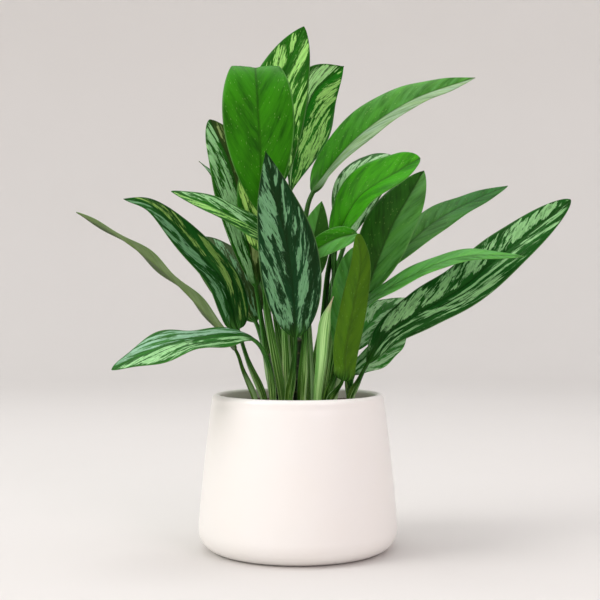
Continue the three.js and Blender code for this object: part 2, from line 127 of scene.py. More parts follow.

# foot: where the stalk stands. stalk: points on its way up. neck: where the blade begins.
# blade: points along its midrib. tip: its end. stalk_size: how thick its stalk is beside the usual one.
# width: across the blade. outline: powers of its rise and fall. face: the way the upper side looks.
# fold: how far each half rises, in degrees. wave: height, number and start of each margin's waves.
# ground and pale: the leaf colours of its left and right half, left as seen from its foot with the upper
# side up; some halves take a lit green and some a shaded one, light and shade painted in.
# far_painted_light_ground: the ground that each half turns to towards the tip, with painted sheen on
# one leaf and painted shade on another. cover: how much of each half is pale. slant: how far a side vein
# runs on towards the tip for each millimetre outwards.
# blotch: width and length of the pale blotches.
LEAVES = {
    "leaf_tall_back": dict(
        look="variegated", foot=(-8, 9), stalk=[(-9, 20, 240)], neck=(-19, 26, 310),
        blade=[(-22.5, 39, 363), (-15, 48, 406)], tip=(5.3, 57, 460),
        width=57, outline=(0.7, 0.8), face=[(-0.1, -0.95, 0.2)], fold=12, wave=(1, 2, 0),
        ground=("leaf_green", "leaf_green"),
        pale=("lime", "lime"), cover=(0.5, 0.5), slant=(2.6, 3.4), blotch=(5.5, 19),
    ),
    "leaf_back_right": dict(
        look="variegated", foot=(3, 14), stalk=[(1, 28, 238)], neck=(-7, 50, 306),
        blade=[(3, 75, 369), (16, 89, 407)], tip=(43, 101, 433),
        width=65, outline=(1.35, 1.05), face=[(0.78, -0.6, 0.2)], fold=20, wave=(1, 2, 1),
        ground=("leaf_green", "bright_green"),
        pale=("sheen_green", "lime"), cover=(0.58, 0.56), slant=(3.6, 3.2), blotch=(5, 24),
    ),
    "leaf_broad": dict(
        look="plain", foot=(-13, -12), stalk=[(-27, -12, 212)], neck=(-30, -17, 281),
        blade=[(-31.5, -26, 340), (-34.3, -27, 385.5), (-36, -12, 408.5)], tip=(-36, 9, 393.5),
        width=61, outline=(0.95, 0.82), face=[(0, -1, 0.1), (0, -1, 0.1), (0, 0.2, 1)], fold=12,
        wave=(0.5, 2, 0),
        ground=("plain_green", "plain_green"),
    ),
    "leaf_arching_right": dict(
        look="plain", foot=(10, -10), stalk=[(7, 4, 212), (7, 14, 286)], neck=(13, 18, 306),
        blade=[(47.5, 24, 350.5), (98.5, 32, 387.5)], tip=(158.5, 44, 411),
        width=50, outline=(0.6, 0.92), face=[(-0.53, -0.55, 0.62), (-0.35, -0.75, 0.55)], fold=24,
        wave=(1, 2, 0),
        # Its grey right half and its greyer far part are a painted sheen.
        ground=("plain_green", "sky_sheen_grey"), far_painted_light_ground=("soft_green", "sky_sheen_grey"),
    ),
    "leaf_left_back": dict(
        look="variegated", foot=(-21, 9), stalk=[(-29, 8, 176)], neck=(-36, 8, 222),
        blade=[(-51, 19, 297), (-60.5, 28, 333)], tip=(-79, 40, 373),
        width=50, outline=(0.8, 0.7), face=[(0.35, -0.9, 0.2)], fold=22, wave=(1, 2, 2),
        ground=("leaf_green", "olive_brown"),
        pale=("mint", "cream"), cover=(0.66, 0.42), slant=(2.6, 3.0), blotch=(6.5, 22),
    ),
    "leaf_left_small": dict(
        look="variegated", foot=(-8, -5), stalk=[(-13, -12, 212)], neck=(-18, -30, 256),
        blade=[(-60, -46, 283.5)], tip=(-102, -60, 299.5),
        width=43, outline=(0.5, 0.75), face=[(-0.2, -0.5, 0.84)], fold=12, wave=(0.8, 2, 0),
        ground=("cool_green", "leaf_green"),
        pale=("lime", "mint"), cover=(0.55, 0.5), slant=(2.4, 2.2), blotch=(6, 20),
    ),
    "leaf_left_arching": dict(
        look="variegated", foot=(-29, -3), stalk=[(-43, -4, 161)], neck=(-51, -6, 187),
        blade=[(-62, -12, 226), (-88, -18, 256.5), (-122.5, -26, 290.5)], tip=(-145, -30, 296),
        stalk_size=0.75, width=32, outline=(0.34, 0.8), face=[(0.3, -0.85, 0.35)], fold=14,
        wave=(1, 2, 1),
        ground=("deep_green", "deep_green"),
        pale=("grey_mint", "moss"), cover=(0.5, 0.45), slant=(3.6, 3.6), blotch=(6.5, 24),
    ),
    "leaf_far_left": dict(
        look="plain", foot=(-37, 4), stalk=[(-47.5, 6, 152)], neck=(-54, 8, 169),
        blade=[(-104, 7, 226), (-149.5, 2, 263.3)], tip=(-189.5, -4, 287),
        stalk_size=0.7, width=38, outline=(0.32, 0.62), face=[(0.5, 0.25, 0.8)], fold=12,
        wave=(2.6, 3, 0.9),
        # One half painted lit, the other painted in shade.
        ground=("pale_olive", "shaded_olive"),
    ),
    "leaf_low_left": dict(
        look="variegated", foot=(-21, -16), stalk=[(-26, -18, 161)], neck=(-38, -18.5, 179),
        blade=[(-88, -45, 179), (-119, -60, 170)], tip=(-148, -72, 156.5),
        stalk_size=0.8, width=48.5, outline=(0.7, 0.75), face=[(-0.1, -0.45, 0.9)], fold=8,
        wave=(2.5, 2, 0.3),
        ground=("cool_green", "cool_green"),
        pale=("mint", "aqua"), cover=(0.52, 0.52), slant=(3.2, 3.4), blotch=(4.5, 18),
    ),
    "leaf_front": dict(
        look="variegated", foot=(-8, -23), stalk=[(-4, -28, 154)], neck=(-2, -34, 181),
        blade=[(-7.5, -50, 249), (-18, -56, 295)], tip=(-26, -58, 332),
        width=51, outline=(0.62, 1.0), face=[(-0.05, -1, 0.15)], fold=13, wave=(1, 2, 0),
        ground=("blue_green", "blue_green"),
        pale=("grey_mint", "grey_mint"), cover=(0.54, 0.48), slant=(2.2, 2.2), blotch=(6.5, 20),
    ),
    "leaf_bright_right": dict(
        look="plain", foot=(14, -2), stalk=[(20.5, -3.5, 182), (26, -5, 238)], neck=(31, -6, 258),
        blade=[(51, -15, 298), (84, -27, 319.5)], tip=(101.5, -32, 329.8),
        width=51, outline=(0.62, 0.55), face=[(-0.55, -0.6, 0.6), (-0.4, -0.7, 0.6)], fold=20,
        wave=(1, 2, 0),
        ground=("fresh_green", "fresh_green"),
    ),
    "leaf_behind_right": dict(
        look="variegated", foot=(12, 15), stalk=[(26, 18, 211)], neck=(42, 28, 265),
        blade=[(57, 59, 315.5), (77, 80, 336)], tip=(99.5, 96, 342.5),
        width=50, outline=(0.8, 0.75), face=[(-0.3, -0.85, 0.4)], fold=12, wave=(1, 2, 0),
        ground=("cool_green", "cool_green"),
        pale=("pale_mint", "pale_mint"), cover=(0.65, 0.65), slant=(2.4, 2.4), blotch=(6, 24),
    ),
    "leaf_two_tone": dict(
        look="plain", foot=(27, 2), stalk=[(45, 4, 190)], neck=(57.5, 9, 216),
        blade=[(82, 28, 275), (99, 42, 304)], tip=(114, 56, 329),
        width=50.5, outline=(0.68, 0.85), face=[(-0.3, -0.93, 0.1)], fold=26, wave=(0.5, 2, 0),
        # One half painted in shade, the other painted lit.
        ground=("shaded_plain", "soft_green"),
    ),
    "leaf_pointing_right": dict(
        look="plain", foot=(30, 16), stalk=[(33, 21, 180), (47, 24, 211)], neck=(75, 24, 239),
        blade=[(120, 48, 280), (159, 66, 302)], tip=(195, 84, 318),
        width=36, outline=(0.62, 0.85), face=[(-0.35, -0.65, 0.65)], fold=14, wave=(0.5, 2, 0),
        ground=("soft_green", "soft_green"), far_painted_light_ground=("cool_green", "cool_green"),
    ),
    "leaf_thin_right": dict(
        look="plain", foot=(30, -8), stalk=[(40, -12, 172)], neck=(52, -14, 203),
        blade=[(97.5, -32, 233.5), (134, -46, 247)], tip=(182, -64, 247),
        stalk_size=0.85, width=34, outline=(0.45, 0.9), face=[(-0.4, -0.35, 0.85)], fold=12,
        wave=(1, 3, 0),
        ground=("light_green", "light_green"),
    ),
    "leaf_long_right": dict(
        look="variegated", foot=(44, -3), stalk=[(51, -6, 142)], neck=(59, -10, 158),
        blade=[(76, -14, 183.5), (106, -20, 204), (135, -26, 221), (177, -35, 256)],
        tip=(223, -46, 294),
        stalk_size=0.8, width=41.5, outline=(0.65, 0.61), face=[(-0.15, -0.9, 0.4)], fold=14,
        wave=(0.8, 3, 0),
        ground=("deep_green", "deep_green"),
        pale=("sage", "sage"), cover=(0.57, 0.42), slant=(1.4, 4.5), blotch=(5.5, 17),
    ),
    "leaf_low_back_right": dict(
        look="variegated", foot=(46, 18), stalk=[(43.5, 14, 150)], neck=(46, 7, 168),
        blade=[(70, 32, 197.5)], tip=(105, 66, 213),
        width=42, outline=(0.62, 0.8), face=[(-0.2, -0.7, 0.65)], fold=10, wave=(2, 2, 0),
        ground=("open_green", "open_green"),
        pale=("pale_mint", "pale_mint"), cover=(0.6, 0.6), slant=(1.9, 1.9), blotch=(5, 18),
    ),
    "leaf_low_right": dict(
        look="variegated", foot=(45, 8), stalk=[], neck=(48, 4, 148),
        blade=[(70, 12, 164)], tip=(95, 26, 179.5),
        stalk_size=0.75, width=28, outline=(0.62, 0.8), face=[(-0.3, -0.7, 0.6)], fold=10,
        wave=(1.5, 2, 0),
        ground=("open_green", "open_green"),
        pale=("pale_mint", "pale_mint"), cover=(0.6, 0.6), slant=(2.2, 2.2), blotch=(5, 18),
    ),
    "leaf_olive": dict(
        look="plain", foot=(26, -24), stalk=[], neck=(37, -38, 146),
        blade=[(39, -41, 171), (46, -46, 211), (51, -50, 243)], tip=(49, -52, 266),
        stalk_size=0.8, width=28, outline=(0.3, 0.5), face=[(0.1, 0.99, 0)], fold=36,
        wave=(0.5, 2, 0),
        ground=("olive", "olive"),
    ),
    "leaf_behind_olive": dict(
        look="plain", foot=(24, -14), stalk=[], neck=(35.5, -19, 162),
        blade=[(40, -19, 212), (44, -18, 241)], tip=(49, -15, 257),
        width=26, outline=(0.6, 0.6), face=[(-0.2, -0.95, 0.1)], fold=14, wave=(0.5, 2, 0),
        ground=("light_green", "light_green"),
    ),
    "leaf_small_centre": dict(
        look="plain", foot=(3, -16), stalk=[(6, -15, 180)], neck=(8, -14, 225),
        blade=[(14, -18, 267)], tip=(20, -20, 295),
        width=30, outline=(0.62, 0.9), face=[(0.3, 0.9, 0)], fold=10, wave=(0.5, 2, 0),
        ground=("shaded_plain", "light_green"),
    ),
    "leaf_small_forward": dict(
        look="plain", foot=(21.5, -6), stalk=[(30, 1, 190), (31, -2, 232), (32, -18, 255)],
        neck=(48, -38, 266),
        blade=[(31, -42, 262)], tip=(0, -41, 244),
        width=22, outline=(0.5, 0.8), face=[(0.2, -0.8, 0.55)], fold=10, wave=(0.5, 2, 0),
        ground=("light_green", "plain_green"),
    ),
    "leaf_brown_left": dict(
        look="variegated", foot=(-17, 18.5), stalk=[(-28, 16, 165)], neck=(-37, 16, 193),
        blade=[(-56, 32, 224), (-73, 52, 249)], tip=(-90, 72, 270),
        width=48, outline=(0.62, 0.65), face=[(0.1, -0.8, 0.6)], fold=12, wave=(1, 2, 0),
        ground=("olive_brown", "olive_brown"),
        pale=("cream", "grey_mint"), cover=(0.45, 0.45), slant=(2.4, 2.4), blotch=(5, 18),
    ),
    "leaf_far_back_left": dict(
        look="variegated", foot=(-19, 28), stalk=[(-27, 40, 194)], neck=(-41, 63, 255),
        blade=[(-54, 85, 291), (-69, 115, 321)], tip=(-98, 150, 349),
        width=26, outline=(0.62, 1.3), face=[(0.3, -0.6, 0.7)], fold=12, wave=(1, 2, 0),
        ground=("olive_brown", "olive_brown"),
        pale=("grey_mint", "grey_mint"), cover=(0.45, 0.45), slant=(2.4, 2.4), blotch=(6, 22),
    ),
    "leaf_behind_broad": dict(
        look="variegated", foot=(-8, 27), stalk=[(-20, 10, 200)], neck=(-29, -2, 252),
        blade=[(-34, -4, 297)], tip=(-41, -4, 340),
        width=38, outline=(0.62, 0.8), face=[(0, -1, 0.1)], fold=10, wave=(1, 2, 0),
        ground=("leaf_green", "leaf_green"),
        pale=("yellow_lime", "yellow_lime"), cover=(0.6, 0.6), slant=(3.0, 3.0), blotch=(6, 26),
    ),
    "leaf_back_far_right": dict(
        look="variegated", foot=(24, 24), stalk=[(34, 34, 185)], neck=(51, 46, 221),
        blade=[(84, 88, 273)], tip=(105, 140, 310),
        width=42, outline=(0.62, 0.9), face=[(-0.2, -0.7, 0.7)], fold=12, wave=(1.5, 2, 0),
        ground=("cool_green", "cool_green"),
        pale=("mint", "mint"), cover=(0.5, 0.5), slant=(2.4, 2.4), blotch=(6, 24),
    ),
}

CANES = {
    "cane_left": ((-17, -2), (-22, 1, 168)),
    "cane_centre": ((0, 3), (0, 6, 180)),
    "cane_right": ((20, 8), (27, 10, 160)),
}
CANE_RADII = (4.6, 3.4)
CANE_NODE_SPACING = 11
CANE_STRAIGHT = 6  # how far a cane rises from the soil's level before it leans
CANE_STATIONS = 90
CANE_TOP = 3.5  # length of its rounded top

NEW_LEAF = dict(
    foot=(16, -19), path=[(19.5, -23, 160), (23.4, -27, 197)], tip=(29.5, -29, 215), width=11, widest=0.74
)
NEW_LEAF_GLOW = 0.12  # share of the light that comes through it
NEW_LEAF_FOOT = 0.6  # widths at its foot and tip, and its depth, beside its widest
NEW_LEAF_TIP = 0.07
NEW_LEAF_DEPTH = 0.8
NEW_LEAF_SEAM = 0.35  # where the seam starts, as a share of the way round


# ---- Colours and settings ----


def linear(code):
    """An sRGB hex value as linear red, green and blue."""
    shares = [int(code[i : i + 2], 16) / 255 for i in (1, 3, 5)]
    return tuple(s / 12.92 if s <= 0.04045 else ((s + 0.055) / 1.055) ** 2.4 for s in shares)


def colour(name, description, code):
    return bpy.props.FloatVectorProperty(
        name=name, description=description, subtype="COLOR", size=3, min=0, max=1, default=linear(code)
    )


def length(name, description, millimetres, low=0.01, high=500):
    return bpy.props.FloatProperty(
        name=name,
        description=description,
        subtype="DISTANCE",
        unit="LENGTH",
        default=millimetres * MM,
        min=low * MM,
        max=high * MM,
        precision=4,
    )


def share(name, description, value):
    return bpy.props.FloatProperty(
        name=name, description=description, subtype="FACTOR", default=value, min=0, max=1
    )


def count(name, description, value, low, high):
    return bpy.props.IntProperty(name=name, description=description, default=value, min=low, max=high)


def power(name, description, watts):
    return bpy.props.FloatProperty(
        name=name, description=description, unit="POWER", default=watts, min=0
    )


class PotSettings(bpy.types.PropertyGroup):
    height: length("Height", "From the table to the lip", POT_HIGH.z / MM)
    belly_radius: length("Belly radius", "Widest radius, just above the heel", POT_HIGH.x / MM)
    wall: length("Wall", "Thickness of the wall", 6.5)
    lip_crease: length("Lip crease", "How deep the soft crease under the lip is", 0.5)
    sides: count("Sides", "How many steps the wall is turned in", 128, 24, 256)
    glaze: colour("Glaze", "White glaze", "#F4F2EF")
    roughness: share("Glaze roughness", "How far the satin glaze spreads a reflection", 0.3)


class SoilSettings(bpy.types.PropertyGroup):
    peat: colour("Peat", "Main colour of the potting soil", "#33241A")
    dry: colour("Dry crumbs", "Where the surface has dried", "#5C4432")
    crumb: length("Crumb", "Size of the larger crumbs", 2.6)
    crumbs: count("Crumbs", "Crumbs per square decimetre", 420, 0, 2000)
    perlite: count("Perlite", "Grains of perlite per square decimetre", 22, 0, 400)
    seed: count("Seed", "Seed of the scatter", 7, 0, 1000)


class LeafSettings(bpy.types.PropertyGroup):
    step: length("Step", "Distance between stations along a blade", 1.7)
    across: count("Across", "Places across a blade", 31, 7, 81)
    half_thickness: length("Half thickness", "Half the blade's thickness beside the midrib", 0.38)
    edge_half_thickness: length("Half thickness at the edge", "Half of it at the blade's margin", 0.2)
    rib: length("Midrib", "How far the midrib stands out below, at the neck", 1.5)
    groove: length("Groove", "How deep the midrib is sunk in the upper side", 0.45)
    quilting: length("Quilting", "How far the blade swells between its side veins", 0.16)
    vein_spacing: length("Vein spacing", "Distance between side veins, square to them", 4.2)
    roughness: share("Cuticle roughness", "How far the waxy upper side spreads a reflection", 0.42)
    translucency: share("Translucency", "How much of its light comes through the blade", 0.14)
    stalk: colour("Stalk", "Green of the leaf stalks", "#4E9440")
    sheath: colour("Sheath", "Pale green of the sheaths at the stalks' feet", "#B4EE8C")
    leaf_green: colour("Leaf green", "Ground of the young variegated leaves", "#1C6608")
    bright_green: colour("Bright green", "Ground of the brightest variegated half", "#0E7206")
    deep_green: colour("Deep green", "Ground of the older variegated leaves", "#125018")
    blue_green: colour("Blue green", "Ground of the darkest variegated leaf", "#08361C")
    cool_green: colour("Cool green", "Ground of leaves in cooler light", "#2A7026")
    open_green: colour("Open green", "Ground of the low leaves on the right", "#44983E")
    # Painted reflection: the greyish sheen that a waxy half shows where it mirrors the pale sky.
    sky_sheen_grey: colour("Grey green", "Greyish half of a folded leaf", "#84A878")
    light_green: colour("Light green", "The thinnest, lightest leaves", "#4C963C")
    soft_green: colour("Soft green", "Where a plain leaf turns its waxy side to the light", "#4C903A")
    pale_olive: colour("Pale olive", "The lit half of the leaf that is seen from its edge", "#68824E")
    plain_green: colour("Plain green", "The plain leaves", "#2A7A06")
    # Painted shade: the green of a plain leaf's half that is turned from the light.
    shaded_plain: colour("Dark plain green", "The dark half of the plain leaves", "#1E580E")
    # Painted shade: the half of the edge-on leaf that is turned from the light.
    shaded_olive: colour("Dull olive", "The leaf that is seen from its edge", "#40542E")
    olive: colour("Olive", "The under side of the small front leaf", "#3E6A02")
    olive_brown: colour("Olive brown", "Ageing leaves", "#2C4416")
    fresh_green: colour("Fresh green", "The bright plain leaf", "#308A03")
    mint: colour("Mint", "Most of the pale blotches", "#AEE2A4")
    pale_mint: colour("Pale mint", "Blotches of the leaves that face the light", "#C8F0C0")
    grey_mint: colour("Grey mint", "Blotches of the darkest leaves", "#76AA7E")
    sage: colour("Sage", "Blotches of the long leaf", "#98CC8E")
    moss: colour("Moss", "Blotches of a leaf turned from the light", "#8CB45C")
    aqua: colour("Aqua", "Blotches that the sky lights", "#A0CCB0")
    lime: colour("Lime", "Blotches of the young leaves", "#AEE880")
    yellow_lime: colour("Yellow lime", "Yellowish streaks", "#C4F080")
    sheen_green: colour("Sheen green", "Pale half with a sheen", "#BEF4A6")
    cream: colour("Cream", "Blotches of the ageing leaves", "#98AA6A")


class CaneSettings(bpy.types.PropertyGroup):
    sides: count("Sides", "Places round a cane", 28, 8, 64)
    node_swell: length("Node swell", "How far each ring stands out", 0.4)
    bark: colour("Bark", "Green of the young canes", "#2C4420")
    scar: colour("Leaf scars", "Pale rings where leaves have been", "#66643E")


class NewLeafSettings(bpy.types.PropertyGroup):
    seam: length("Seam", "Step at the edge of the rolled blade", 0.5)
    turns: bpy.props.FloatProperty(
        name="Turns", description="Turns of the rolled edge from foot to tip", default=0.6, min=0, max=4
    )
    green: colour("Green", "Pale green of the rolled leaf", "#CCFFA4")
    tip: colour("Tip", "Creamy pink of its tip", "#E6D0B0")


class StageSettings(bpy.types.PropertyGroup):
    floor: colour("Floor", "Plain pale floor", "#E0DDDA")
    key_power: power("Key light", "Power of the soft light from the left", 41)
    fill_power: power("Fill light", "Power of the soft light from the right", 10)
    front_power: power("Front light", "Power of the soft low light from the front", 1)
    sky: share("Sky", "Strength of the even light from all round", 0.92)
    lens: bpy.props.FloatProperty(
        name="Lens", description="Focal length of the view", unit="CAMERA", default=69, min=10
    )


def group(kind, name, description):
    return bpy.props.PointerProperty(type=kind, name=name, description=description)


class EvergreenSettings(bpy.types.PropertyGroup):
    pot: group(PotSettings, "Pot", "The glazed pot")
    soil: group(SoilSettings, "Soil", "The potting soil")
    leaves: group(LeafSettings, "Leaves", "Blades and stalks")
    canes: group(CaneSettings, "Canes", "The short canes")
    new_leaf: group(NewLeafSettings, "New leaf", "The rolled leaf")
    stage: group(StageSettings, "Stage", "Floor, lights and camera")


# ---- Small tools ----


def add(tree, kind, inputs=(), **settings):
    """Adds a node with its settings and gives its outputs. Its inputs are a list from the first on, or go
    by name or number. Each is a value, or another node's output to link."""
    node = tree.nodes.new(kind)
    for name, value in settings.items():
        setattr(node, name, value)
    for key, value in inputs.items() if isinstance(inputs, dict) else enumerate(inputs):
        if isinstance(value, bpy.types.NodeSocket):
            tree.links.new(value, node.inputs[key])
        else:
            node.inputs[key].default_value = value
    return node.outputs


def smooth(value):
    """A step from 0 to 1 that starts and ends softly."""
    s = np.clip(value, 0, 1)
    return s * s * (3 - 2 * s)


def rgba(value):
    return (*value[:3], 1)


def mesh_of(name, points, faces, attributes=None):
    """A smooth-shaded mesh from points in millimetres, with point attributes as (kind, numbers)."""
    mesh = bpy.data.meshes.new(name)
    mesh.from_pydata((np.asarray(points) * MM).tolist(), [], faces)
    for label, (kind, numbers) in (attributes or {}).items():
        layer = mesh.attributes.new(label, kind, "POINT")
        field = {"FLOAT": "value", "FLOAT_VECTOR": "vector", "FLOAT_COLOR": "color"}[kind]
        layer.data.foreach_set(field, np.asarray(numbers, np.float32).ravel())
    mesh.shade_smooth()
    mesh.update()
    return mesh


def stand_for(mesh, name, material, node):
    """Links a finished mesh as a piece that rides on the root body and stands for a CAD node."""
    piece = bpy.data.objects.new(name, mesh)
    bpy.context.scene.collection.objects.link(piece)
    if material:
        mesh.materials.clear()
        mesh.materials.append(material)
    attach(piece, "root")
    if node:
        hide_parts(node)


def grown(name, tree, source, values):
    """The plain mesh that a geometry node tree makes from a source mesh, with named inputs set."""
    holder = bpy.data.objects.new(name + "_source", source)
    bpy.context.scene.collection.objects.link(holder)
    modifier = holder.modifiers.new(tree.name, "NODES")
    modifier.node_group = tree
    sockets = {s.name: s.identifier for s in tree.interface.items_tree if s.in_out == "INPUT"}
    for label, value in values.items():
        modifier[sockets[label]] = value
    seen = holder.evaluated_get(bpy.context.evaluated_depsgraph_get())
    made = bpy.data.meshes.new_from_object(seen)
    made.name = name
    bpy.data.objects.remove(holder)
    return made


def close_up(mesh):
    """Merges doubles and turns every face outwards."""
    work = bmesh.new()
    work.from_mesh(mesh)
    bmesh.ops.remove_doubles(work, verts=work.verts, dist=0.01 * MM)
    bmesh.ops.recalc_face_normals(work, faces=work.faces)
    work.to_mesh(mesh)
    work.free()
    mesh.shade_smooth()


def circle(radius, z, sides):
    """Points round the Z axis at a height."""
    turns = np.linspace(0, 2 * math.pi, sides, endpoint=False)
    return [(radius * math.cos(a), radius * math.sin(a), z) for a in turns]


def tube(rings):
    """Points and faces of a closed tube through rings that all hold the same number of points. A middle
    point at each end is added after the rest."""
    stations, around = rings.shape[:2]
    points = rings.reshape(-1, 3)
    here = np.arange(around)
    following = (here + 1) % around
    faces = []
    for r in range(stations - 1):
        a, b = r * around + here, r * around + following
        faces += np.stack([a, b, b + around, a + around], axis=1).tolist()
    foot, tip = len(points), len(points) + 1
    last = (stations - 1) * around
    faces += [[foot, b, a] for a, b in zip(here.tolist(), following.tolist())]
    faces += [[tip, last + a, last + b] for a, b in zip(here.tolist(), following.tolist())]
    return np.vstack([points, rings[0].mean(0), rings[-1].mean(0)]), faces


class Route:
    """A centripetal Catmull-Rom curve through points, read by share of its length, as the part's source
    has it."""

    STEPS = 100

    def __init__(self, points):
        p = np.array(points, float)
        wide = np.vstack([2 * p[0] - p[1], p, 2 * p[-1] - p[-2]])
        gap = np.sum(np.diff(wide, axis=0) ** 2, axis=1) ** 0.25
        self.pieces = []
        for i in range(len(p) - 1):
            x0, x1, x2, x3 = wide[i : i + 4]
            d0, d1, d2 = gap[i : i + 3]
            out = ((x1 - x0) / d0 - (x2 - x0) / (d0 + d1) + (x2 - x1) / d1) * d1
            into = ((x2 - x1) / d1 - (x3 - x1) / (d1 + d2) + (x3 - x2) / d2) * d1
            self.pieces.append([x1, out, 3 * (x2 - x1) - 2 * out - into, 2 * (x1 - x2) + out + into])
        self.pieces = np.array(self.pieces)
        self.times = np.linspace(0, len(p) - 1, self.STEPS * (len(p) - 1) + 1)
        chords = np.linalg.norm(np.diff(self.at_time(self.times), axis=0), axis=1)
        self.lengths = np.concatenate([[0], np.cumsum(chords)])
        self.length = self.lengths[-1]

    def at_time(self, time):
        time = np.clip(time, 0, len(self.pieces))
        piece = np.minimum(time.astype(int), len(self.pieces) - 1)
        w = (time - piece)[:, None]
        a, b, c, d = np.moveaxis(self.pieces[piece], 1, 0)
        return a + b * w + c * w**2 + d * w**3

    def frames(self, shares, facing):
        """Middle, upper side and side at each share of the length."""
        time = np.interp(np.asarray(shares) * self.length, self.lengths, self.times)
        middle = self.at_time(time)
        along = self.at_time(time + 1e-3) - self.at_time(time - 1e-3)
        along /= np.linalg.norm(along, axis=1)[:, None]
        up = facing - along * np.sum(facing * along, axis=1)[:, None]
        up /= np.linalg.norm(up, axis=1)[:, None]
        return middle, up, np.cross(along, up)


# ---- Materials ----

# What a Mix node does with its two colours: it lays the second over the first, or multiplies them.
LAID = {"data_type": "RGBA"}
TINTED = {"data_type": "RGBA", "blend_type": "MULTIPLY"}


def new_material(name):
    material = bpy.data.materials.new(name)
    material.use_nodes = True
    material.node_tree.nodes.clear()
    return material, material.node_tree


def surfaced(tree, inputs, glow=None, through=0):
    """Ends a material in its surface, with a share of the light coming through where it has a glow."""
    surface = add(tree, "ShaderNodeBsdfPrincipled", inputs)[0]
    if glow is not None:
        lit_through = add(tree, "ShaderNodeBsdfTranslucent", {"Color": glow})[0]
        surface = add(tree, "ShaderNodeMixShader", [through, surface, lit_through])[0]
    add(tree, "ShaderNodeOutputMaterial", {"Surface": surface})


def vein_pattern(tree, veins, width, length, own, detail=2.0):
    """Uneven patches that lie along the side veins, of a width and length in millimetres. The larger own
    is, the less one leaf's patches are like another's."""
    scales = (1 / width, 1 / length, own)
    place = add(tree, "ShaderNodeVectorMath", [veins, scales], operation="MULTIPLY")[0]
    return add(tree, "ShaderNodeTexNoise", {"Vector": place, "Scale": 1.0, "Detail": detail})


def blotched(tree, veins, green):
    """Pale blotches that follow the side veins, with ragged edges, a half-pale rim, flecks round them and
    small green holes in them."""
    pale, cover, blotch_place = [
        add(tree, "ShaderNodeAttribute", attribute_name=name)[kind]
        for name, kind in (("pale", "Color"), ("cover", "Fac"), ("blotch_place", "Vector"))
    ]
    # The blotches' places are pushed about by a coarse pattern, so that no two have one shape.
    push = vein_pattern(tree, veins, 5, 9, 1)[1]
    centred = add(tree, "ShaderNodeVectorMath", [push, (0.5, 0.5, 0.5)], operation="SUBTRACT")[0]
    pushed = add(
        tree, "ShaderNodeVectorMath", [centred, (1.1, 0.7, 0), blotch_place], operation="MULTIPLY_ADD"
    )[0]
    blotch = add(tree, "ShaderNodeTexNoise", {"Vector": pushed, "Scale": 1.0, "Detail": 3.0})[0]
    fray = vein_pattern(tree, veins, 2, 7, 2, 3.0)[0]
    nibble = vein_pattern(tree, veins, 1.3, 1.8, 4)[0]
    fleck = vein_pattern(tree, veins, 1, 5, 5)[0]

    # The leaf is pale where the level comes to 1.
    frayed = add(tree, "ShaderNodeMath", [fray, 0.34, blotch], operation="MULTIPLY_ADD")[0]
    uneven = add(tree, "ShaderNodeMath", [nibble, 0.12, frayed], operation="MULTIPLY_ADD")[0]
    lowered = add(tree, "ShaderNodeMath", [cover, 0.03], operation="SUBTRACT")[0]
    level = add(tree, "ShaderNodeMath", [uneven, lowered], operation="ADD")[0]
    rim = add(tree, "ShaderNodeMapRange", [level, 0.955, 0.99, 0.0, 0.4])[0]
    inside = add(tree, "ShaderNodeMapRange", [level, 0.99, 1.005])[0]
    near = add(tree, "ShaderNodeMapRange", [level, 0.84, 0.97])[0]
    flecked = add(tree, "ShaderNodeMapRange", [fleck, 0.58, 0.66, 0.0, 0.55])[0]
    flecks = add(tree, "ShaderNodeMath", [flecked, near], operation="MULTIPLY")[0]
    holes = add(tree, "ShaderNodeMapRange", [fleck, 0.33, 0.4, 0.8, 0.0])[0]

    mottle = add(tree, "ShaderNodeMapRange", [fray, 0.35, 0.62])[0]
    dim = add(tree, "ShaderNodeMix", {0: 1.0, 6: pale, 7: (0.66, 0.76, 0.64, 1)}, **TINTED)[2]
    mottled = add(tree, "ShaderNodeMix", {0: mottle, 6: dim, 7: pale}, **LAID)[2]
    rimmed = add(tree, "ShaderNodeMix", {0: rim, 6: green, 7: pale}, **LAID)[2]
    outside = add(tree, "ShaderNodeMix", {0: flecks, 6: rimmed, 7: pale}, **LAID)[2]
    holed = add(tree, "ShaderNodeMix", {0: holes, 6: mottled, 7: green}, **LAID)[2]
    return add(tree, "ShaderNodeMix", {0: inside, 6: outside, 7: holed}, **LAID)[2]


def banded(tree, veins, ground, green):
    """Broad bands of lighter green along the side veins, and tiny pale pores some 4 mm apart, lightened
    into painted glints.
    """
    lighter = add(tree, "ShaderNodeMix", {0: 1.0, 6: ground, 7: (1.75, 1.4, 2.2, 1)}, **TINTED)[2]
    pattern = vein_pattern(tree, veins, 5, 30, 2)[0]
    band = add(tree, "ShaderNodeMapRange", [pattern, 0.42, 0.62, 0.0, 0.6])[0]
    bands = add(tree, "ShaderNodeMix", {0: band, 6: green, 7: lighter}, **LAID)[2]
    # The pale dots are partly pores and partly painted glints of the waxy surface.
    pores = add(tree, "ShaderNodeTexVoronoi", {"Vector": veins, "Scale": 0.42})
    dots = add(tree, "ShaderNodeMapRange", [pores["Distance"], 0.1, 0.2, 0.55, 0.0])[0]
    draw = add(tree, "ShaderNodeSeparateXYZ", [pores["Color"]])[0]
    chosen = add(tree, "ShaderNodeMapRange", [draw, 0.55, 0.6])[0]
    pore_glints = add(tree, "ShaderNodeMath", [dots, chosen], operation="MULTIPLY")[0]
    return add(tree, "ShaderNodeMix", {0: pore_glints, 6: bands, 7: rgba(linear("#9CC870"))}, **LAID)[2]


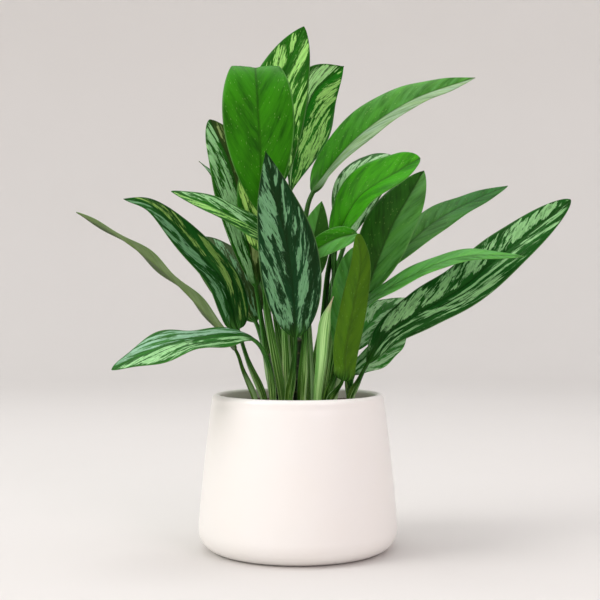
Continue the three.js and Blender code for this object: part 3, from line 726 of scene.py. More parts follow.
def stalk_skin(tree, settings, veins, stalk_place, up_stalk, ground, across, reach):
    """The stalk: smooth green with lines along it, paler towards the sheath and at the sheath's thin
    edges, and each a little different. Its lighter lines are painted highlights, and one side is painted
    lit and the other painted in shade."""
    sheath = add(tree, "ShaderNodeMapRange", [up_stalk, 0.0, 0.55, 0.9, 0.0])[0]
    base = add(tree, "ShaderNodeMix", {0: 0.35, 6: rgba(settings.stalk), 7: ground}, **LAID)[2]
    green = add(tree, "ShaderNodeMix", {0: sheath, 6: base, 7: rgba(settings.sheath)}, **LAID)[2]

    line_place = add(tree, "ShaderNodeVectorMath", [stalk_place, (0, 2.2, 2.4)], operation="MULTIPLY")[0]
    own_place = add(tree, "ShaderNodeVectorMath", [veins, (0, 0, 0.37)], operation="MULTIPLY")[0]
    lines, own = [
        add(tree, "ShaderNodeTexNoise", {"Vector": place, "Scale": 1.0, "Detail": detail})[0]
        for place, detail in ((line_place, 3.0), (own_place, 2.0))
    ]
    # The lighter lines are painted highlights, glints along the stalk; the darker ones are its own
    # stripes.
    dark_line, highlight_line = [
        add(tree, "ShaderNodeMix", {0: 1.0, 6: green, 7: tint}, **TINTED)[2]
        for tint in ((0.22, 0.36, 0.14, 1), (2.3, 1.8, 2.6, 1))
    ]
    dark_part = add(tree, "ShaderNodeMapRange", [lines, 0.4, 0.55])[0]
    highlight_part = add(tree, "ShaderNodeMapRange", [lines, 0.52, 0.6])[0]
    own_part = add(tree, "ShaderNodeMapRange", [own, 0.45, 0.58])[0]
    lined = add(tree, "ShaderNodeMix", {0: dark_part, 6: dark_line, 7: green}, **LAID)[2]
    lit = add(tree, "ShaderNodeMix", {0: highlight_part, 6: lined, 7: highlight_line}, **LAID)[2]
    dim = add(tree, "ShaderNodeMix", {0: 1.0, 6: lit, 7: (0.2, 0.28, 0.12, 1)}, **TINTED)[2]
    uneven = add(tree, "ShaderNodeMix", {0: own_part, 6: dim, 7: lit}, **LAID)[2]
    # Painted light and shade: one side of each stalk is painted as lit from the left, the other as in
    # shade.
    painted_lit_side, painted_shaded_side = [
        add(tree, "ShaderNodeMix", {0: 1.0, 6: uneven, 7: tint}, **TINTED)[2]
        for tint in ((1.7, 1.45, 1.6, 1), (0.42, 0.55, 0.32, 1))
    ]
    side = add(tree, "ShaderNodeMapRange", [across, -0.5, 0.4])[0]
    sided = add(tree, "ShaderNodeMix", {0: side, 6: painted_lit_side, 7: painted_shaded_side}, **LAID)[2]
    fringe = add(tree, "ShaderNodeMapRange", [reach, 0.6, 0.85])[0]
    thin_edge = add(tree, "ShaderNodeMath", [fringe, sheath], operation="MULTIPLY")[0]
    return add(tree, "ShaderNodeMix", {0: thin_edge, 6: sided, 7: rgba(linear("#C4ECAC"))}, **LAID)[2]


def leaf_material(name, settings, variegated):
    """Leaf blade: a thin green sheet under a waxy cuticle, so a soft sheen above, duller below, and light
    comes through."""
    material, tree = new_material(name)
    veins, blade_place, stalk_place = [
        add(tree, "ShaderNodeAttribute", attribute_name=place)["Vector"]
        for place in ("vein_place", "blade_place", "stalk_place")
    ]
    ground = add(tree, "ShaderNodeAttribute", attribute_name="ground")["Color"]
    vein, along_vein, _ = add(tree, "ShaderNodeSeparateXYZ", [veins])
    across, _, upper = add(tree, "ShaderNodeSeparateXYZ", [blade_place])
    on_stalk, up_stalk, _ = add(tree, "ShaderNodeSeparateXYZ", [stalk_place])
    reach = add(tree, "ShaderNodeMath", [across], operation="ABSOLUTE")[0]

    # Cloudy patches some 12 to 20 mm across, and streaks 1.5 mm wide that run with the side veins.
    cloud = vein_pattern(tree, veins, 12, 20, 1, 3.0)[0]
    streak = vein_pattern(tree, veins, 1.5, 9, 3, 3.0)[0]
    shadowed, lit, streaked = [
        add(tree, "ShaderNodeMix", {0: 1.0, 6: ground, 7: tint}, **TINTED)[2]
        for tint in ((0.4, 0.5, 0.34, 1), (1.3, 1.2, 1.1, 1), (1.7, 1.5, 1.5, 1))
    ]
    shade = add(tree, "ShaderNodeMapRange", [cloud, 0.36, 0.64])[0]
    streaks = add(tree, "ShaderNodeMapRange", [streak, 0.4, 0.7, 0.0, 0.35])[0]
    patched = add(tree, "ShaderNodeMix", {0: shade, 6: shadowed, 7: lit}, **LAID)[2]
    green = add(tree, "ShaderNodeMix", {0: streaks, 6: patched, 7: streaked}, **LAID)[2]
    blade = blotched(tree, veins, green) if variegated else banded(tree, veins, ground, green)
    midrib_shade_tint = (0.55, 0.7, 0.5, 1) if variegated else (0.55, 0.52, 0.5, 1)

    # Side veins as faint lines, the midrib as a narrow groove darkened with painted shade, and the margin
    # as a thin pale line.
    vein_share = add(tree, "ShaderNodeMath", [vein, MM / settings.vein_spacing], operation="MULTIPLY")[0]
    vein_wave = add(tree, "ShaderNodeMath", [vein_share, 0.5], operation="PINGPONG")[0]
    vein_line = add(tree, "ShaderNodeMapRange", [vein_wave, 0.0, 0.1, 0.3, 0.0])[0]
    rib = add(tree, "ShaderNodeMapRange", [along_vein, 0.5, 3.0, 0.85, 0.0])[0]
    margin = add(tree, "ShaderNodeMapRange", [reach, 0.95, 0.99, 0.0, 0.4])[0]
    veined = add(tree, "ShaderNodeMix", {0: vein_line, 6: blade, 7: (0.45, 0.5, 0.4, 1)}, **TINTED)[2]
    ribbed = add(tree, "ShaderNodeMix", {0: rib, 6: veined, 7: midrib_shade_tint}, **TINTED)[2]
    edged = add(tree, "ShaderNodeMix", {0: margin, 6: ribbed, 7: rgba(linear("#7FAE68"))}, **LAID)[2]

    # The under side is paler and greyer, and the stalk has a skin of its own.
    below = add(tree, "ShaderNodeMath", [1.0, upper], operation="SUBTRACT")[0]
    below_part = add(tree, "ShaderNodeMath", [below, 0.45], operation="MULTIPLY")[0]
    under = add(tree, "ShaderNodeMix", {0: 0.1, 6: ground, 7: rgba(linear("#7C9A5C"))}, **LAID)[2]
    sided = add(tree, "ShaderNodeMix", {0: below_part, 6: edged, 7: under}, **LAID)[2]
    stalk = stalk_skin(tree, settings, veins, stalk_place, up_stalk, ground, across, reach)
    skin = add(tree, "ShaderNodeMix", {0: on_stalk, 6: sided, 7: stalk}, clamp_result=True, **LAID)[2]

    # Swollen cells between the veins, streaks of them, and the veins' own grooves.
    grain = add(tree, "ShaderNodeMath", [streak, 0.35, cloud], operation="MULTIPLY_ADD")[0]
    relief = add(tree, "ShaderNodeMath", [vein_line, -1.2, grain], operation="MULTIPLY_ADD")[0]
    bump = add(tree, "ShaderNodeBump", {"Strength": 0.45, "Distance": 0.4 * MM, "Height": relief})[0]
    low, high = settings.roughness - 0.06, settings.roughness + 0.1
    upper_rough = add(tree, "ShaderNodeMapRange", [streak, 0.35, 0.65, low, high])[0]
    blade_rough = add(tree, "ShaderNodeMath", [below, 0.15, upper_rough], operation="MULTIPLY_ADD")[0]
    rough = add(tree, "ShaderNodeMath", [on_stalk, -0.12, blade_rough], operation="MULTIPLY_ADD")[0]
    glow = add(tree, "ShaderNodeMix", {0: 1.0, 6: skin, 7: (1.4, 1.6, 0.7, 1)}, **TINTED)[2]
    cuticle = {"IOR": 1.45, "Specular IOR Level": 0.25, "Specular Tint": (0.65, 1.0, 0.4, 1)}
    inputs = {"Base Color": skin, "Roughness": rough, "Normal": bump, **cuticle}
    surfaced(tree, inputs, glow, settings.translucency)
    return material


def glaze_material(settings):
    """Satin white glaze on slip-cast stoneware: a soft broad reflection, hardly any texture, and the
    faint unevenness of a dipped glaze."""
    material, tree = new_material("Satin white glaze on stoneware")
    place = add(tree, "ShaderNodeTexCoord")["Object"]
    # The glaze lies thicker and thinner over some 40 mm, and has a fine orange peel of about 2 mm.
    cloud, peel = [
        add(tree, "ShaderNodeTexNoise", {"Vector": place, "Scale": 1 / (size * MM), "Detail": detail})[0]
        for size, detail in ((40, 2.0), (2, 1.0))
    ]
    glaze = rgba(settings.glaze)
    warm = add(tree, "ShaderNodeMix", {0: 1.0, 6: glaze, 7: (1.0, 0.985, 0.965, 1)}, **TINTED)[2]
    tone = add(tree, "ShaderNodeMapRange", [cloud, 0.1, 0.9])[0]
    white = add(tree, "ShaderNodeMix", {0: tone, 6: glaze, 7: warm}, **LAID)[2]
    height = add(tree, "ShaderNodeMath", [peel, 0.12, cloud], operation="MULTIPLY_ADD")[0]
    bump = add(tree, "ShaderNodeBump", {"Strength": 0.12, "Distance": 0.5 * MM, "Height": height})[0]
    low, high = settings.roughness - 0.03, settings.roughness + 0.06
    rough = add(tree, "ShaderNodeMapRange", [cloud, 0.1, 0.9, low, high])[0]
    surfaced(tree, {"Base Color": white, "Roughness": rough, "Normal": bump, "IOR": 1.5})
    return material


def soil_material(settings):
    """Peat-based potting soil: matt, dark and fibrous, lighter where its top has dried."""
    material, tree = new_material("Peat potting soil")
    place = add(tree, "ShaderNodeTexCoord")["Object"]
    # Crumbs of 2.4 mm and damp patches of 20 mm.
    crumb, patch = [
        add(tree, "ShaderNodeTexNoise", {"Vector": place, "Scale": scale, "Detail": detail})[0]
        for scale, detail in ((420.0, 4.0), (50.0, 2.0))
    ]
    both = add(tree, "ShaderNodeMath", [crumb, patch], operation="MULTIPLY")[0]
    dryness = add(tree, "ShaderNodeMapRange", [both, 0.18, 0.36])[0]
    damp, dry = rgba(settings.peat), rgba(settings.dry)
    earth = add(tree, "ShaderNodeMix", {0: dryness, 6: damp, 7: dry}, **LAID)[2]
    bump = add(tree, "ShaderNodeBump", {"Strength": 0.8, "Distance": 1.0 * MM, "Height": crumb})[0]
    surfaced(tree, {"Base Color": earth, "Roughness": 0.95, "Normal": bump})
    return material


def perlite_material():
    """Expanded perlite: matt white volcanic glass with a fine foam of pores."""
    material, tree = new_material("Expanded perlite")
    place = add(tree, "ShaderNodeTexCoord")["Object"]
    # Pores of 0.7 mm.
    pores = add(tree, "ShaderNodeTexNoise", {"Vector": place, "Scale": 1400.0, "Detail": 2.0})[0]
    shade = add(tree, "ShaderNodeMapRange", [pores, 0.35, 0.6])[0]
    hollow, crust = rgba(linear("#B9B2A6")), rgba(linear("#ECE8E0"))
    white = add(tree, "ShaderNodeMix", {0: shade, 6: hollow, 7: crust}, **LAID)[2]
    surfaced(tree, {"Base Color": white, "Roughness": 0.85})
    return material


def cane_material(settings):
    """Green bark of a young cane: smooth, slightly waxy, with a corky pale scar at every node."""
    material, tree = new_material("Young green cane bark")
    place = add(tree, "ShaderNodeAttribute", attribute_name="cane_place")["Vector"]
    up_cane = add(tree, "ShaderNodeSeparateXYZ", [place])[2]
    # Mottling of about 3 mm.
    mottle = add(tree, "ShaderNodeTexNoise", {"Vector": place, "Scale": 0.35, "Detail": 4.0})[0]
    green = rgba(settings.bark)
    dim = add(tree, "ShaderNodeMix", {0: 1.0, 6: green, 7: (0.5, 0.5, 0.45, 1)}, **TINTED)[2]
    tone = add(tree, "ShaderNodeMapRange", [mottle, 0.35, 0.65])[0]
    bark = add(tree, "ShaderNodeMix", {0: tone, 6: dim, 7: green}, **LAID)[2]
    node_share = add(tree, "ShaderNodeMath", [up_cane, 1 / CANE_NODE_SPACING], operation="MULTIPLY")[0]
    node_wave = add(tree, "ShaderNodeMath", [node_share, 0.5], operation="PINGPONG")[0]
    scar = add(tree, "ShaderNodeMapRange", [node_wave, 0.03, 0.1, 0.6, 0.0])[0]
    ringed = add(tree, "ShaderNodeMix", {0: scar, 6: bark, 7: rgba(settings.scar)}, **LAID)[2]
    bump = add(tree, "ShaderNodeBump", {"Strength": 0.5, "Distance": 0.3 * MM, "Height": mottle})[0]
    surfaced(tree, {"Base Color": ringed, "Roughness": 0.55, "Normal": bump})
    return material


def new_leaf_material(settings):
    """A rolled young leaf: thin, pale, slightly glossy tissue with fine parallel lines and a creamy pink
    tip."""
    material, tree = new_material("Rolled young leaf")
    place = add(tree, "ShaderNodeAttribute", attribute_name="roll_place")["Vector"]
    up_leaf = add(tree, "ShaderNodeSeparateXYZ", [place])[1]
    stretched = add(tree, "ShaderNodeVectorMath", [place, (3.5, 1.2, 3.5)], operation="MULTIPLY")[0]
    lines = add(tree, "ShaderNodeTexNoise", {"Vector": stretched, "Scale": 1.0, "Detail": 3.0})[0]
    tone = add(tree, "ShaderNodeMapRange", [lines, 0.36, 0.62])[0]
    green = rgba(settings.green)
    dark = add(tree, "ShaderNodeMix", {0: 1.0, 6: green, 7: (0.26, 0.46, 0.2, 1)}, **TINTED)[2]
    lined = add(tree, "ShaderNodeMix", {0: tone, 6: dark, 7: green}, **LAID)[2]
    end = add(tree, "ShaderNodeMapRange", [up_leaf, 0.86, 0.97])[0]
    tipped = add(tree, "ShaderNodeMix", {0: end, 6: lined, 7: rgba(settings.tip)}, **LAID)[2]
    bump = add(tree, "ShaderNodeBump", {"Strength": 0.3, "Distance": 0.3 * MM, "Height": lines})[0]
    surfaced(tree, {"Base Color": tipped, "Roughness": 0.42, "Normal": bump}, tipped, NEW_LEAF_GLOW)
    return material


def floor_material(settings):
    """Painted studio floor: matt, with a hardly visible unevenness of the paint."""
    material, tree = new_material("Matt studio paint")
    place = add(tree, "ShaderNodeTexCoord")["Object"]
    # Patches of about 300 mm.
    cloud = add(tree, "ShaderNodeTexNoise", {"Vector": place, "Scale": 3.0, "Detail": 2.0})[0]
    paint = rgba(settings.floor)
    dim = add(tree, "ShaderNodeMix", {0: 1.0, 6: paint, 7: (0.97, 0.97, 0.965, 1)}, **TINTED)[2]
    coat = add(tree, "ShaderNodeMix", {0: cloud, 6: dim, 7: paint}, **LAID)[2]
    surfaced(tree, {"Base Color": coat, "Roughness": 0.8})
    return material


# ---- Geometry node trees ----


def new_tree(name, sockets):
    """A geometry node tree with named inputs, as (name, kind, default), and a geometry at each end, and
    its inputs' outputs."""
    tree = bpy.data.node_groups.new(name, "GeometryNodeTree")
    tree.interface.new_socket(name="Geometry", in_out="OUTPUT", socket_type="NodeSocketGeometry")
    tree.interface.new_socket(name="Geometry", in_out="INPUT", socket_type="NodeSocketGeometry")
    for label, kind, default in sockets:
        socket = tree.interface.new_socket(name=label, in_out="INPUT", socket_type=kind)
        if default is not None:
            socket.default_value = default
    return tree, add(tree, "NodeGroupInput")


def turning_tree():
    """Turns a profile, drawn as a line of points in XZ, round Z as on a potter's wheel."""
    tree, given = new_tree(
        "Turn on a wheel",
        [
            ("Points", "NodeSocketInt", 2),
            ("Sides", "NodeSocketInt", 64),
            ("Material", "NodeSocketMaterial", None),
        ],
    )
    columns = add(tree, "ShaderNodeMath", [given["Sides"], 1.0], operation="ADD")[0]
    counts = {"Vertices X": given["Points"], "Vertices Y": columns}
    grid = add(tree, "GeometryNodeMeshGrid", counts)["Mesh"]
    index = add(tree, "GeometryNodeInputIndex")[0]
    row = add(tree, "ShaderNodeMath", [index, columns], operation="DIVIDE")[0]
    row_down = add(tree, "ShaderNodeMath", [row], operation="FLOOR")[0]
    column = add(tree, "ShaderNodeMath", [index, columns], operation="FLOORED_MODULO")[0]
    place = add(tree, "GeometryNodeInputPosition")[0]
    looked_up = {"Geometry": given["Geometry"], "Value": place, "Index": row_down}
    drawn = add(
        tree, "GeometryNodeSampleIndex", looked_up, data_type="FLOAT_VECTOR", domain="POINT"
    )["Value"]
    part = add(tree, "ShaderNodeMath", [column, given["Sides"]], operation="DIVIDE")[0]
    angle = add(tree, "ShaderNodeMath", [part, 2 * math.pi], operation="MULTIPLY")[0]
    about = {"Vector": drawn, "Angle": angle}
    turned = add(tree, "ShaderNodeVectorRotate", about, rotation_type="Z_AXIS")[0]
    wall = add(tree, "GeometryNodeSetPosition", {"Geometry": grid, "Position": turned})[0]
    closed = add(tree, "GeometryNodeMergeByDistance", {"Geometry": wall, "Distance": 0.01 * MM})[0]
    real = add(tree, "GeometryNodeRealizeInstances", {"Geometry": closed})[0]
    painted = add(tree, "GeometryNodeSetMaterial", {"Geometry": real, "Material": given["Material"]})[0]
    add(tree, "NodeGroupOutput", {"Geometry": painted})
    return tree


def scatter_tree():
    """Scatters uneven grains over the upper faces of a surface."""
    tree, given = new_tree(
        "Scatter grains",
        [
            ("Density", "NodeSocketFloat", 1000.0),
            ("Grain", "NodeSocketFloat", 0.001),
            ("Smallest", "NodeSocketFloat", 0.3),
            ("Sunk", "NodeSocketFloat", 0.0),
            ("Reach", "NodeSocketFloat", 0.06),
            ("Seed", "NodeSocketInt", 0),
            ("Material", "NodeSocketMaterial", None),
        ],
    )
    normal = add(tree, "GeometryNodeInputNormal")[0]
    upward = add(tree, "ShaderNodeSeparateXYZ", [normal])[2]
    is_top = add(tree, "ShaderNodeMath", [upward, 0.5], operation="GREATER_THAN")[0]
    place = add(tree, "GeometryNodeInputPosition")[0]
    flat = add(tree, "ShaderNodeVectorMath", [place, (1, 1, 0)], operation="MULTIPLY")[0]
    out = add(tree, "ShaderNodeVectorMath", [flat], operation="LENGTH")["Value"]
    within = add(tree, "ShaderNodeMath", [out, given["Reach"]], operation="LESS_THAN")[0]
    chosen = add(tree, "ShaderNodeMath", [is_top, within], operation="MULTIPLY")[0]
    seed = {"Seed": given["Seed"]}
    where = {"Mesh": given["Geometry"], "Selection": chosen, "Density": given["Density"], **seed}
    points = add(
        tree, "GeometryNodeDistributePointsOnFaces", where, distribute_method="RANDOM"
    )["Points"]
    ball = add(tree, "GeometryNodeMeshIcoSphere", {"Radius": given["Grain"], "Subdivisions": 1})["Mesh"]
    sizes = {"Min": (0.3, 0.3, 0.25), "Max": (1, 1, 0.75), **seed}
    size = add(tree, "FunctionNodeRandomValue", sizes, data_type="FLOAT_VECTOR")[0]
    shares = {2: given["Smallest"], 3: 1.0, **seed}
    overall = add(tree, "FunctionNodeRandomValue", shares, data_type="FLOAT")[1]
    uneven = add(tree, "ShaderNodeVectorMath", {0: size, "Scale": overall}, operation="SCALE")[0]
    turns = {"Max": (2 * math.pi, 2 * math.pi, 2 * math.pi), **seed}
    turn = add(tree, "FunctionNodeRandomValue", turns, data_type="FLOAT_VECTOR")[0]
    spin = add(tree, "FunctionNodeEulerToRotation", [turn])[0]
    laid = {"Points": points, "Instance": ball, "Rotation": spin, "Scale": uneven}
    grains = add(tree, "GeometryNodeInstanceOnPoints", laid)[0]
    down = add(tree, "ShaderNodeMath", [given["Sunk"], -1.0], operation="MULTIPLY")[0]
    shift = add(tree, "ShaderNodeCombineXYZ", {2: down})[0]
    sunk = {"Instances": grains, "Translation": shift, "Local Space": False}
    settled = add(tree, "GeometryNodeTranslateInstances", sunk)[0]
    real = add(tree, "GeometryNodeRealizeInstances", {"Geometry": settled})[0]
    painted = add(tree, "GeometryNodeSetMaterial", {"Geometry": real, "Material": given["Material"]})[0]
    add(tree, "NodeGroupOutput", {"Geometry": painted})
    return tree


# ---- Pot and soil ----


def inner_heel(settings):
    """Radius of the rounding between the pot's floor and its inside, in millimetres."""
    return POT_HEEL - settings.wall / MM + INNER_HEEL_MORE


def pot_radius(settings, z):
    """Outer radius at a height, in millimetres: a side that curves in gently from belly to rim."""
    belly, height = settings.belly_radius / MM, settings.height / MM
    up = np.maximum(0, (z - POT_HEEL) / (height - LIP_OUTER - POT_HEEL))
    return belly - (belly - POT_RIM_RADIUS) * up**POT_TAPER


def quarter(centre_r, centre_z, radius_r, radius_z, start, end, steps):
    """A quarter of an ellipse as profile points, between two angles in degrees."""
    angles = np.radians(np.linspace(start, end, steps + 1))
    return np.stack([centre_r + radius_r * np.cos(angles), centre_z + radius_z * np.sin(angles)], axis=1)


def pot_profile(settings):
    """The wall's outline from the middle of the foot, up the outside, over the lip and down to the
    middle of the floor."""
    height, wall = settings.height / MM, settings.wall / MM
    lip_z, inner_lip_z = height - LIP_OUTER, height - LIP_INNER
    heel = inner_heel(settings)
    inner_base = pot_radius(settings, POT_HEEL) - wall
    up = np.linspace(POT_HEEL, lip_z, 50)[1:-1]
    # A soft crease runs round under the lip.
    crease = settings.lip_crease / MM * np.exp(-(((up - (height - CREASE_DOWN)) / CREASE_REACH) ** 2))
    side = np.stack([pot_radius(settings, up) - crease, up], axis=1)
    down = np.linspace(inner_lip_z, POT_FLOOR + heel, 24)[1:-1]
    inside = np.stack([pot_radius(settings, down) - wall, down], axis=1)
    belly = settings.belly_radius / MM
    return np.vstack(
        [
            [[0, 0], [POT_FOOT_RADIUS * 0.5, 0]],
            quarter(POT_FOOT_RADIUS, POT_HEEL, belly - POT_FOOT_RADIUS, POT_HEEL, -90, 0, 20),
            side,
            quarter(POT_RIM_RADIUS - LIP_OUTER, lip_z, LIP_OUTER, LIP_OUTER, 0, 90, 10),
            quarter(POT_RIM_RADIUS - wall + LIP_INNER, inner_lip_z, LIP_INNER, LIP_INNER, 90, 180, 8),
            inside,
            quarter(inner_base - heel, POT_FLOOR + heel, heel, heel, 0, -90, 10),
            [[0, POT_FLOOR]],
        ]
    )


def build_pot(settings):
    profile = pot_profile(settings)
    drawn = bpy.data.meshes.new("pot_profile")
    points = [(r * MM, 0, z * MM) for r, z in profile]
    drawn.from_pydata(points, [(i, i + 1) for i in range(len(points) - 1)], [])
    glaze = glaze_material(settings)
    values = {"Points": len(points), "Sides": settings.sides, "Material": glaze}
    mesh = grown("glazed_pot", turning_tree(), drawn, values)
    close_up(mesh)
    stand_for(mesh, "glazed_pot", glaze, "pot")


def soil_level(x, y, wall_radius):
    """Height of the soil's surface: crossing ripples, flat at the wall, with lumps of 9 and 3 mm."""
    ripple = math.sin(x * 0.13 + 1) * math.cos(y * 0.11) + 0.6 * math.sin(x * 0.07 - y * 0.17 + 2)
    reach = math.hypot(x, y) / wall_radius
    lumps = 0.0
    for size, height, layer in ((9, 0.9, 3), (3.2, 0.55, 8)):
        lumps += noise.noise(Vector((x / size, y / size, layer))) * height
    return SOIL_TOP + SOIL_BUMP * ripple * (1 - min(1, reach) ** 4) + lumps


def build_soil(settings, pot):
    wall = pot.wall / MM
    rings, sides = 56, 144
    wall_radius = float(pot_radius(pot, SOIL_TOP)) - wall
    edge = wall_radius - SOIL_CLEARANCE
    heel = inner_heel(pot)
    rows = []
    for r in np.linspace(0, 1, rings + 1)[1:]:
        rows.append([(x, y, soil_level(x, y, wall_radius)) for x, y, _ in circle(edge * r, 0, sides)])
    for z in (*SOIL_LEVELS, heel + 8):
        rows.append(circle(float(pot_radius(pot, z)) - wall - SOIL_CLEARANCE, z, sides))
    low = float(pot_radius(pot, 0)) - wall - heel - SOIL_CLEARANCE
    rows.append(circle(low, POT_FLOOR + SOIL_CLEARANCE, sides))
    points, faces = tube(np.array(rows))
    points[-2] = (0, 0, soil_level(0, 0, wall_radius))
    mesh = mesh_of("potting_soil", points, faces)
    close_up(mesh)
    earth = soil_material(settings)
    stand_for(mesh, "potting_soil", earth, "soil")
    tree = scatter_tree()
    square_decimetre = (100 * MM) ** 2
    for name, grain, number, smallest, paint in (
        ("soil_crumbs", settings.crumb / 2, settings.crumbs, 0.35, earth),
        ("soil_perlite", settings.crumb / 2 * 0.8, settings.perlite, 0.5, perlite_material()),
    ):
        values = {
            "Density": number / square_decimetre,
            "Grain": grain,
            "Smallest": smallest,
            "Sunk": grain * 0.1,
            "Reach": (edge - 2) * MM,
            "Seed": settings.seed + len(name),
            "Material": paint,
        }
        grains = grown(name, tree, mesh.copy(), values)
        stand_for(grains, name, None, None)


# ---- Leaves ----


def blade_width(leaf, along):
    """Half the blade's width at a share of the way from neck to tip."""
    rise, fall = leaf["outline"]
    widest = rise / (rise + fall)
    return leaf["width"] / 2 * (along / widest) ** rise * ((1 - along) / (1 - widest)) ** fall


def facings(leaf, along):
    """The way the upper side looks at each share of the blade."""
    faces = np.array(leaf["face"], float)
    faces /= np.linalg.norm(faces, axis=1)[:, None]
    place = np.clip(along, 0, 1) * (len(faces) - 1)
    first = np.minimum(place.astype(int), len(faces) - 1)
    following = np.minimum(first + 1, len(faces) - 1)
    return faces[first] + (faces[following] - faces[first]) * (place - first)[:, None]


def leaf_stations(leaf, step):
    """The leaf's route, each station's share of the whole length and of the blade, which is 0 on the
    stalk, the shares at which the soil and the neck are, and the blade's length."""
    x, y = leaf["foot"]
    start, straight = (x, y, SOIL_TOP - SOIL_SUNK), (x, y, SOIL_TOP + STEM_STRAIGHT)
    stalk = [start, straight, *leaf["stalk"], leaf["neck"]]
    route = Route([*stalk, *leaf["blade"], leaf["tip"]])
    soil_at, neck_at = route.lengths[[Route.STEPS, Route.STEPS * (len(stalk) - 1)]] / route.length
    stalk_length = neck_at * route.length
    blade_length = route.length - stalk_length
    stalk_stations = max(FEWEST_ON_STALK, round(stalk_length / STALK_STEP))
    on_stalk = np.linspace(0, neck_at, stalk_stations, endpoint=False)
    even = np.linspace(0, 1, max(FEWEST_ON_BLADE, round(blade_length / step)) + 1)
    # Closer together at the neck and the tip.
    along = even + ((1 - np.cos(np.pi * even)) / 2 - even) * ENDS_CLOSER
    whole = np.concatenate([on_stalk, neck_at + (1 - neck_at) * along])
    blade = np.concatenate([np.zeros(len(on_stalk)), along])
    return route, whole, blade, (soil_at, neck_at), blade_length


def leaf_shape(leaf, settings, seed):
    """Rings of a leaf, in millimetres, with its numbers at every point."""
    route, whole, blade, (soil_at, neck_at), blade_length = leaf_stations(leaf, settings.step / MM)
    middle, up, side = route.frames(whole, facings(leaf, blade))
    even = np.linspace(-1, 1, settings.across)[None, :]
    across = even * (0.42 + 0.58 * even**2)  # closer together at the midrib
    left = across < 0
    reach = np.abs(across)

    along = blade[:, None]
    round_share = 1 - smooth(along / NECK_BLEND)
    flat_share = 1 - round_share
    stalk_share = np.clip((whole - soil_at) / (neck_at - soil_at), 0, 1)[:, None]
    radius = leaf.get("stalk_size", 1) * np.interp(stalk_share, PETIOLE_SHARES, PETIOLE_RADII)
    narrow = TIP_HALF_WIDTH + (radius - TIP_HALF_WIDTH) * round_share
    half = np.maximum(blade_width(leaf, along), narrow)
    out = half * reach

    # The two halves fold up from the midrib, curl down at the margins and wave, but not at the ends.
    fold = math.radians(leaf["fold"]) * flat_share
    height, waves, start = leaf["wave"]
    free = np.minimum(1, 4 * along * (1 - along))
    phase = 2 * math.pi * waves * along + start + np.where(left, HALVES_APART, 0)
    soft_reach = np.sqrt(reach**2 + MIDRIB_BEND**2) - MIDRIB_BEND
    lift = half * (np.sin(fold) * soft_reach - CURL * flat_share * across**2)
    lift = lift + height * free * flat_share * across**2 * np.sin(phase)

    # Side veins leave the midrib at a slant and run on towards the tip. The blade swells between them,
    # and rises and falls a little over some 40 mm.
    slants = leaf.get("slant", PLAIN_SLANTS)
    slant = np.where(left, slants[0], slants[1])
    run = np.hypot(1, slant)
    vein = (along * blade_length - slant * out * (1 + VEIN_BEND * reach)) / run
    swell = settings.quilting / MM * np.cos(2 * math.pi * vein / (settings.vein_spacing / MM))
    swell *= flat_share * smooth(reach / SWELL_FROM) * (1 - smooth((reach - SWELL_TO) / (1 - SWELL_TO)))
    slow_start = np.where(left, SLOW_APART, 0)
    slow = SLOW_HEIGHT * np.sin(vein / SLOW_LENGTH + seed + slow_start) * reach * flat_share
    lift = lift - swell + slow * free

    thin, edge = settings.half_thickness / MM, settings.edge_half_thickness / MM
    thick = thin + (edge - thin) * reach**2
    groove = settings.groove / MM * np.exp(-((out / GROOVE_REACH) ** 2)) * flat_share * (1 - along)
    rib = settings.rib / MM * np.exp(-((out / RIB_REACH) ** 2)) * flat_share * (1 - along)
    # The stalk: round below, with a shallow channel above that opens towards the sheath at its foot.
    bulge = radius * STALK_DEPTH * np.sqrt(np.maximum(0, 1 - across**2)) * round_share
    channel_depth = CHANNEL_DEPTH + SHEATH_DEPTH * (1 - stalk_share)
    channel = radius * channel_depth * np.exp(-((across / CHANNEL_SHARE) ** 2)) * round_share
    top = lift + thick + bulge - channel - groove
    bottom = lift - thick - bulge - rib
    sideways = half * (across * flat_share + np.sin(across * math.pi / 2) * round_share) * np.cos(fold)

    def surface(heights):
        aside, risen = sideways[..., None], heights[..., None]
        return middle[:, None, :] + side[:, None, :] * aside + up[:, None, :] * risen

    def ringed(upper, lower=None):
        """Numbers of the upper side and back along the lower side, which has the same unless told."""
        upper = np.broadcast_to(upper, half_shape)
        lower = upper if lower is None else np.broadcast_to(lower, half_shape)
        return np.concatenate([upper, lower[:, ::-1]], axis=1)

    half_shape = top.shape
    rings = np.concatenate([surface(top), surface(bottom)[:, ::-1]], axis=1)
    numbers = {
        "vein": ringed(vein),
        "along_vein": ringed(out * run),
        "across": ringed(across),
        "blade": ringed(along),
        "upper": ringed(1.0, 0.0),
        "stalk": ringed(round_share),
        "stalk_share": ringed(stalk_share),
        "around": ringed(across * STALK_REACH),
    }
    return rings, numbers


